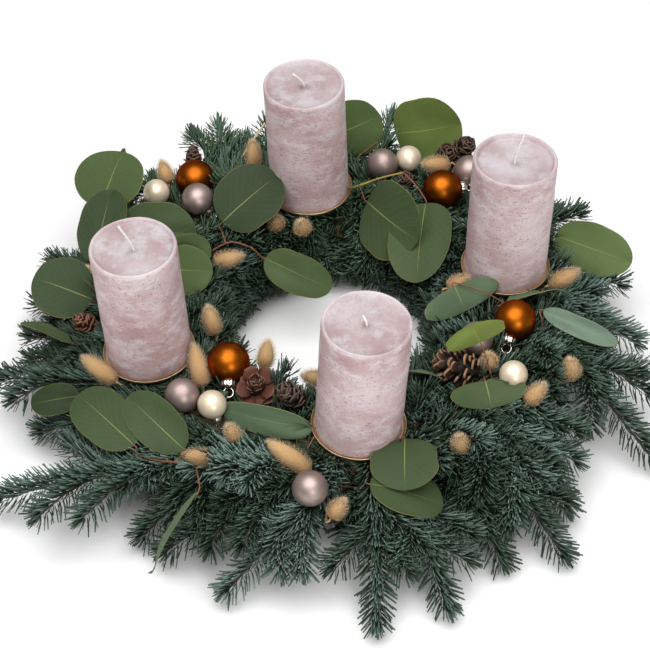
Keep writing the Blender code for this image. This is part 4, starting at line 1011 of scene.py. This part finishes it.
SPRIGS = {                         # points of each sprig, from where it is bound to its tip
    "left": (
        [(-131, -14, 52), (-146, -14, 53), (-162, -11, 51), (-211, 8, 38)],
        [(-128, -26, 52), (-142, -27, 52), (-156, -25, 49), (-211, -4, 24)],
        [(-134, 17, 52), (-148, 20, 52), (-162, 26, 48), (-212, 61, 18)],
        [(-131, 44, 52), (-145, 49, 52), (-157, 57, 50), (-203, 99, 26)],
        [(-132, -9, 52), (-117, -6, 56), (-102, -2, 47), (-84, 2, 32)],
        [(-132, 39, 52), (-120, 36, 57), (-106, 32, 48), (-86, 28, 44)],
        [(-134, 8, 52), (-149, 12, 60), (-171, 27, 76)],
    ),
    "front_left": (
        [(-67, -104, 52), (-78, -110, 51), (-88, -121, 52), (-117, -127, 48),
         (-180, -126, 32), (-222, -127, 18)],
        [(-118, -50, 52), (-131, -54, 53), (-159, -51, 50), (-201, -36, 40), (-229, -26, 30)],
        [(-60, -108, 52), (-70, -116, 46), (-78, -127, 46), (-89, -135, 39), (-124, -157, 12)],
        [(-109, -65, 52), (-122, -70, 52), (-137, -72, 47), (-200, -64, 15)],
        [(-105, -71, 52), (-94, -61, 54), (-84, -50, 48), (-71, -33, 34)],
        [(-58, -109, 52), (-52, -95, 56), (-43, -61, 34)],
        [(-86, -90, 52), (-108, -111, 49), (-135, -135, 38)],
    ),
    "front": (
        [(-5, -124, 52), (-16, -133, 50), (-23, -145, 52), (-32, -151, 46), (-91, -167, 24),
         (-108, -174, 15)],
        [(7, -124, 52), (5, -137, 51), (-2, -149, 47), (-11, -159, 45), (-66, -205, 13)],
        [(-22, -122, 52), (-30, -132, 55), (-46, -136, 58), (-89, -141, 63)],
        [(29, -122, 52), (32, -152, 52), (31, -233, 11)],
        [(43, -119, 52), (50, -134, 49), (50, -147, 49), (56, -164, 40), (62, -178, 36),
         (77, -221, 11)],
        [(-36, -118, 52), (-31, -104, 55), (-30, -88, 47), (-23, -80, 39), (-20, -72, 34)],
        [(10, -124, 52), (10, -110, 54), (14, -74, 44)],
        [(50, -117, 52), (45, -90, 52), (43, -70, 48)],
    ),
    "front_right": (
        [(91, -95, 52), (100, -107, 52), (120, -132, 43), (157, -180, 11)],
        [(123, -59, 52), (135, -69, 50), (142, -82, 48), (163, -143, 15)],
        [(116, -69, 52), (124, -80, 52), (128, -95, 50), (125, -162, 30)],
        [(75, -106, 52), (82, -119, 51), (89, -132, 46), (116, -184, 10)],
        [(83, -100, 52), (74, -88, 54), (63, -77, 50), (49, -61, 38)],
        [(81, -102, 52), (102, -129, 70)],
    ),
    "right": (
        [(141, -14, 52), (155, -19, 52), (178, -39, 46), (226, -98, 15)],
        [(143, -4, 52), (158, -8, 52), (172, -15, 50), (229, -49, 26)],
        [(144, 30, 52), (158, 32, 53), (184, 19, 46), (226, 0, 28)],
        [(139, 53, 52), (154, 56, 52), (169, 56, 50), (219, 53, 35)],
        [(138, -26, 52), (123, -22, 57), (107, -20, 46), (87, -16, 36)],
        [(143, 34, 52), (128, 31, 54), (93, 18, 40)],
        [(138, -26, 52), (147, -34, 60), (158, -53, 72)],
    ),
    "back_right": (
        [(128, 80, 52), (157, 91, 57), (192, 102, 60)],
        [(115, 101, 52), (127, 110, 52), (140, 118, 47), (181, 142, 24)],
        [(98, 119, 52), (109, 130, 51), (120, 141, 46), (155, 176, 18)],
        [(75, 136, 52), (82, 149, 51), (90, 162, 46), (114, 205, 20)],
        [(81, 132, 52), (74, 119, 54), (67, 105, 50), (58, 85, 40)],
        [(118, 97, 52), (106, 88, 54), (80, 60, 42)],
        [(129, 78, 52), (138, 89, 64), (142, 97, 74)],
    ),
    "back": (
        [(39, 150, 52), (41, 164, 54), (57, 210, 66)],
        [(15, 154, 52), (15, 169, 55), (36, 232, 22)],
        [(-38, 148, 52), (-40, 164, 56), (-39, 206, 68)],
        [(-5, 154, 52), (-6, 170, 51), (-8, 185, 46), (-14, 234, 18)],
        [(-17, 153, 52), (-14, 138, 54), (-11, 123, 49), (-7, 102, 36)],
        [(34, 151, 52), (32, 136, 53), (31, 99, 40)],
    ),
    "back_left": (
        [(-67, 134, 52), (-72, 148, 55), (-75, 164, 60), (-78, 202, 69)],
        [(-77, 128, 52), (-86, 155, 52), (-87, 168, 58), (-90, 185, 62), (-98, 204, 57)],
        [(-90, 117, 52), (-108, 139, 47), (-112, 152, 44), (-132, 190, 24)],
        [(-113, 89, 52), (-124, 97, 52), (-135, 106, 48), (-176, 147, 20)],
        [(-108, 97, 52), (-95, 89, 55), (-60, 78, 40)],
        [(-69, 133, 52), (-57, 120, 55), (-47, 108, 45), (-40, 100, 44)],
        [(-60, 138, 52), (-62, 150, 56), (-56, 182, 70)],
    ),
}
SPRIG_MOODS = {                    # how pale and blue a sprig is, where the photo tells
    ("front", 0): 0.38, ("front", 1): 0.80, ("front", 2): 0.98, ("front", 3): 0.48,
    ("front", 4): 0.55, ("front_left", 0): 0.62, ("front_left", 1): 0.50,
    ("front_left", 3): 0.40, ("left", 0): 0.28, ("left", 1): 0.30, ("left", 2): 0.35,
    ("front_right", 0): 0.42, ("front_right", 1): 0.62, ("front_right", 2): 0.88,
    ("front_right", 3): 0.35, ("front_right", 5): 0.80, ("right", 0): 0.50, ("right", 1): 0.40,
}
TUFTS = {                          # how many, and between which slopes round the straw
    "top": (575, 38, 142), "outer": (180, -30, 38), "inner": (260, 142, 225),
}


def new_needle(curl):
    """A needle with its pointed foot at the origin: flat, three-sided, curled and blunt."""
    shape = bmesh.new()
    bmesh.ops.create_cone(shape, cap_ends=True, segments=3, radius1=NEEDLE_WIDTH * 0.01,
                          radius2=NEEDLE_WIDTH * 0.62, depth=NEEDLE_LENGTH,
                          matrix=Matrix.Translation((0, 0, NEEDLE_LENGTH / 2)))
    bmesh.ops.bisect_plane(shape, geom=shape.verts[:] + shape.edges[:] + shape.faces[:],
                           plane_co=(0, 0, NEEDLE_LENGTH * 0.42), plane_no=UP)
    bmesh.ops.remove_doubles(shape, verts=shape.verts, dist=NEEDLE_WIDTH * 0.05)
    mark(shape, "tone", 0)
    layer = shape.verts.layers.float.new("along")
    for vert in shape.verts:
        along = vert.co.z / NEEDLE_LENGTH
        belly = 3.7 if 0.3 < along < 0.8 else 1.0
        vert.co = Vector((vert.co.x * belly, vert.co.y * belly * 0.5 + curl * along ** 2 * MM,
                          vert.co.z))
        vert[layer] = along
    return stamp_of("needle", shape)


def blocked(spot, way, length):
    """Whether a piece that lies on the fir is that way, within a length."""
    return laid_on.ray_cast(spot, way, length)[0] is not None


def stick_needle(bundle, needle, foot, way, bend, length, tone):
    """Sets one needle with its foot in the twig, if it has room there."""
    hit = laid_on.ray_cast(foot, way, length * 1.15)[3]
    if hit is not None:
        length = hit - NEEDLE_GAP
        if length < NEEDLE_SHORTEST:
            return
    tip = foot + way * length
    if tip.z < 2 * MM or (tip - RING_MIDDLE).to_2d().length < HOLE:
        return
    for spot in (tip, foot.lerp(tip, 0.6)):
        if blocked(spot, -UP, CLEAR_BELOW) or blocked(spot, FROM_FRONT, CLEAR_BEHIND):
            return
    bend = (bend - way * bend.dot(way)).normalized()
    curled = way * length + bend * 0.25 * length
    if blocked(foot, curled.normalized(), curled.length * 1.08):
        return
    seat = Matrix((bend.cross(way), bend, way)).transposed().to_4x4()
    size = Matrix.Scale(length / NEEDLE_LENGTH, 4)
    plant(bundle, needle, Matrix.Translation(foot) @ seat @ size, tone)


def bristle(bundle, course, fullness, mood):
    """Needles all along a sprig, fewer below, with a brush of short ones at its end."""
    for i, (point, ahead, share) in enumerate(smooth_walk(course, NEEDLE_PITCH / fullness)):
        up = (UP - ahead * UP.dot(ahead) + ahead.cross(UP) * 0.001).normalized()
        around = ((i * GOLDEN_TURN + pi) % tau - pi) * 0.78
        around = around * (0.62 + 0.16 * abs(around)) + draw.uniform(-0.2, 0.2)
        outward = up * cos(around) + ahead.cross(up) * sin(around)
        closing = max(0, (share - 0.86) / 0.14)          # from 0 to 1 over the last stretch
        level = ahead.x * ahead.x                        # 1 where the sprig runs left or right
        lean = 60 + 8 * level - (30 - 26 * level) * max(0, cos(around)) - 14 * closing
        lean = radians(lean + draw.uniform(-8, 8))
        way = (outward * sin(lean) + ahead * cos(lean) + UP * 0.1).normalized()
        length = NEEDLE_LENGTH * draw.uniform(0.80, 1.02) * (1 - 0.12 * closing)
        length *= 0.8 + 0.2 * min(1, share * 6)
        # Painted light: needles on the twig's upper side get a paler tone and those below a darker
        # one.
        tone = min(1, max(0, mood + 0.12 * cos(around) + draw.uniform(-0.24, 0.24)))
        foot = point + outward * 0.7 * MM
        stick_needle(bundle, needles[i % 3], foot, way, ahead * 0.7 + UP * 0.6, length, tone)
    brush = round(BRUSH * fullness)
    for k in range(brush):
        around, lean = k * GOLDEN_TURN, radians(4 + 48 * k / brush)
        side = ahead.orthogonal().normalized()
        outward = side * cos(around) + ahead.cross(side) * sin(around)
        way = outward * sin(lean) + ahead * cos(lean)
        length = NEEDLE_LENGTH * draw.uniform(0.55, 0.8)
        stick_needle(bundle, needles[k % 3], point - ahead * MM, way, ahead, length, mood)


def inside(point):
    """Whether a point is inside one of the pieces that lie on the fir."""
    way = Vector((0.0131, 0.0077, 1)).normalized()
    crossings = 0
    while True:
        hit = laid_on.ray_cast(point, way)[0]
        if hit is None:
            return crossings % 2 == 1
        crossings += 1
        point = hit + way * 0.001 * MM


def has_room(course, need):
    """Whether a sprig can go there without pushing into what lies on the fir."""
    return all(laid_on.find_nearest(p)[3] > need and not inside(p) for p in course)


def grow(name, shoot, tone, fullness, mood):
    """Adds a side shoot or a tuft to a bunch: its bare twig and the needles on it."""
    lay_in(twig_bundles[name], rod(shoot, SHOOT_SIZES, 5), tone)
    bristle(needle_bundles[name], shoot, fullness, mood)


def nearest_bunch(turn):
    """The bunch whose middle is nearest to an angle round the ring."""
    return max(BUNCH_MIDDLES, key=lambda name: cos(turn - radians(BUNCH_MIDDLES[name])))


laid_on = solids_of([*leaf_meshes, head_mesh, loop_room_mesh,
                     *nodes_called("bauble", "cone", "candle")])
bpy.data.meshes.remove(head_mesh)
bpy.data.meshes.remove(loop_room_mesh)
needles = [new_needle(curl) for curl in (2.2, 3.4, 4.6)]
draw = np.random.default_rng(23)
needle_bundles = {name: bmesh.new() for name in SPRIGS}
twig_bundles = {name: bmesh.new() for name in SPRIGS}

for name, sprigs in SPRIGS.items():
    bound = [radians(BUNCH_MIDDLES[name] + 20.5 * (1 - k / 6)) for k in range(13)]
    stems = [on_ring(turn, radians(67.5), 29.66 * MM) for turn in bound]
    lay_in(twig_bundles[name], rod(stems, [2.2 * MM] * len(stems), 8), 0.3)
    for number, sprig in enumerate(sprigs):
        course = millimetres(sprig)
        lay_in(twig_bundles[name], tapered(course, 6, 1.7, 0.8, 6), 0.6)
        mood = SPRIG_MOODS.get((name, number), draw.uniform(0.25, 0.8))
        bristle(needle_bundles[name], course, 1.0, mood)
        reach = (course[-1] - course[0]).length
        if reach < 60 * MM:
            continue
        steps = smooth_walk(course, 6 * MM)
        forks = [(0.22, 1), (0.36, -1), (0.5, 1)]
        if name.startswith("front"):
            forks.append((0.6, -1))
        for share, way_round in forks:
            foot, ahead, _ = steps[round(share * (len(steps) - 1))]
            across = ahead.cross(UP).normalized() * way_round
            way = (ahead * 0.72 + across * 0.68 + UP * draw.uniform(-0.05, 0.2)).normalized()
            length = reach * (0.54 - 0.45 * share) * draw.uniform(0.8, 1.1)
            shoot = [foot, foot + way * length * 0.5 + UP * 2 * MM, foot + way * length]
            shoot[1] += ahead * 2 * MM
            if shoot[2].z >= 6 * MM and has_room(smooth_points(shoot, 4 * MM)[1:], 2.5 * MM):
                grow(name, shoot, 0.7, 0.9, mood + draw.uniform(-0.15, 0.05))

spots = [(number * GOLDEN_TURN % tau, radians(draw.uniform(low, high)))
         for count, low, high in TUFTS.values() for number in range(count)]
for turn, slope in spots:
    foot = on_ring(turn, slope, STRAW_RADIUS + draw.uniform(0.5, 5) * MM)
    radial = Vector((cos(turn), sin(turn), 0))
    onward = Vector((-sin(turn), cos(turn), 0))
    way = radial * cos(slope) * 0.9 + onward * draw.uniform(-0.8, 0.8)
    way += UP * (0.32 if slope < 0.6 or slope > 2.5 else 0.45) * draw.uniform(0.3, 1.4)
    if slope > 2.5 and sin(turn) > 0:
        way -= UP * draw.uniform(0.2, 1.1)          # the tufts behind the hole hang down in it
    way = (way + radial * draw.uniform(-0.35, 0.5)).normalized()
    length = draw.uniform(16, 36) * MM
    tuft = [foot, foot + way * length * 0.5 + UP * 1.5 * MM, foot + way * length]
    clear = 4 * MM < tuft[2].z < 66 * MM
    clear = clear and (tuft[2] - RING_MIDDLE).to_2d().length >= HOLE + 2 * MM
    if clear and has_room(smooth_points(tuft, 4 * MM), 1.4 * MM):
        # Painted shade: tufts take darker tones than most sprigs, as they lie deeper in the fir.
        grow(nearest_bunch(turn), tuft, 0.5, 0.58, draw.uniform(0.1, 0.65))

for number in range(NEEDLES_BETWEEN):
    turn, slope = draw.uniform(0, tau), radians(draw.uniform(-30, 210))
    foot = on_ring(turn, slope, STRAW_RADIUS + draw.uniform(0.2, 4) * MM)
    out = on_ring(turn, slope, 2 * MM) - on_ring(turn, slope, 1 * MM)
    out.normalize()
    along = Vector((-sin(turn), cos(turn), 0))
    spin = draw.uniform(0, tau)
    way = along * cos(spin) + out.cross(along) * sin(spin) + out * draw.uniform(0.05, 0.5)
    # Painted shade: the needles between the sprigs, close on the straw, take the darkest tones.
    stick_needle(needle_bundles[nearest_bunch(turn)], needles[number % 3], foot,
                 way.normalized(), out, NEEDLE_LENGTH * draw.uniform(0.7, 1), draw.uniform(0, 0.4))

needle_finish = new_finish("fir_needle", {
    "Roughness": 0.42, "Specular IOR Level": 0.33, "Coat Weight": 0.04, "Coat Roughness": 0.3,
})
needle_place = object_place(needle_finish)
needle_colour = grade(needle_finish, carried(needle_finish, "tone"),
                      (0.0, (0.006, 0.017, 0.007)), (0.4, (0.026, 0.052, 0.032)),
                      (0.7, (0.078, 0.130, 0.105)), (1.0, (0.180, 0.262, 0.230)))
needle_back = node(needle_finish, "SeparateXYZ", {"Vector": needle_place}).outputs["Y"]
needle_back = threshold(needle_finish, needle_back, 0.05, 0.20, 0.6)
needle_colour = blend(needle_finish, needle_back, needle_colour, (0.060, 0.125, 0.050, 1))
needle_patches = mottle(needle_finish, needle_place, 28, 2)
needle_colour = tint(needle_finish, needle_colour, needle_patches, 0.4, (0.040, 0.080, 0.030))
# Painted shade: each needle is darkened towards its foot, deep in the fir.
needle_foot_painted_shade = grade(needle_finish, carried(needle_finish, "along"), (0.0, (0.05, 0.06, 0.04)),
                     (0.45, (0.40, 0.43, 0.39)), (0.9, (1, 1, 1)))
needle_colour = blend(needle_finish, 1.0, needle_colour, needle_foot_painted_shade, "MULTIPLY")
feed(needle_finish, "Base Color", needle_colour)
roughen(needle_finish, mottle(needle_finish, needle_place, 1400, 2), 0.08)

twig_finish = new_finish("fir_twig", {"Roughness": 0.8})
twig_marks = mottle(twig_finish, object_place(twig_finish), 420, 4)
twig_colour = grade(twig_finish, twig_marks, (0.3, (0.025, 0.016, 0.008)),
                    (0.7, (0.10, 0.070, 0.035)))
feed(twig_finish, "Base Color", blend(twig_finish, carried(twig_finish, "tone"),
                                      twig_colour, (0.060, 0.062, 0.025, 1)))
roughen(twig_finish, twig_marks, 0.4)

for name in SPRIGS:
    needle_piece = add_piece("fir_needles_" + name, needle_bundles[name], needle_finish)
    twig_piece = add_piece("fir_twigs_" + name, twig_bundles[name], twig_finish)
    for piece in (needle_piece, twig_piece):
        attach(piece, "root")
        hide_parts("fir_bunch_" + name)


# Floor
# A plain white sheet under the wreath, and the empty bright room round it. The sheet is
# there for the photograph only and isn't part of the wreath.
floor_shape = bmesh.new()
bmesh.ops.create_grid(floor_shape, x_segments=1, y_segments=1, size=6)
floor_finish = new_finish("floor", {
    "Roughness": 0.9, "Base Color": (0.82, 0.82, 0.82, 1), "Specular IOR Level": 0.1,
})
floor = add_piece("floor", floor_shape, floor_finish)


# Light
# A big soft box hangs above the table, a small one stands in front on the right, and the
# white room lights the rest. The box above is what shines on the baubles.
world = bpy.data.worlds.new("studio")
bpy.context.scene.world = world
world.use_nodes = True
world.node_tree.nodes["Background"].inputs["Color"].default_value = (1, 1, 1, 1)
world.node_tree.nodes["Background"].inputs["Strength"].default_value = 0.24
bpy.context.scene.view_settings.view_transform = "Standard"
SOFT_BOXES = {                     # place in metres, size in metres, watts
    "above": ((-0.1, -0.25, 1.8), 2.4, 54),
    "front": ((0.6, -2.2, 0.9), 0.8, 18),
}
for name, (place, size, watts) in SOFT_BOXES.items():
    box = bpy.data.lights.new("soft_box_" + name, "AREA")
    box.shape = "DISK"
    box.size = size
    box.energy = watts
    lamp = bpy.data.objects.new("soft_box_" + name, box)
    bpy.context.scene.collection.objects.link(lamp)
    away = Vector(place) - Vector((0, 0, 0.06))
    lamp.matrix_world = Matrix.Translation(place) @ facing(away)


# Camera
# A long lens, 1.43 m from the wreath and 45 degrees above the table. It is turned a hair
# to the left, as it was for the photograph.
ELEVATION = radians(45.25)
ROLL = radians(-1.25)
DISTANCE = 1.4255
AIM = Vector((0.0015, -0.0085, 0.060))
lens = bpy.data.cameras.new("camera")
lens.lens = 110.77
lens.sensor_width = 36
lens.clip_end = 50
camera = bpy.data.objects.new("camera", lens)
bpy.context.scene.collection.objects.link(camera)
back = Vector((0, -cos(ELEVATION), sin(ELEVATION)))
right = Vector((1, 0, 0))
above = back.cross(right)
across = right * cos(ROLL) + above * sin(ROLL)
upward = above * cos(ROLL) - right * sin(ROLL)
turned_to = Matrix((across, upward, back)).transposed().to_4x4()
camera.matrix_world = Matrix.Translation(AIM + back * DISTANCE) @ turned_to
bpy.context.scene.camera = camera
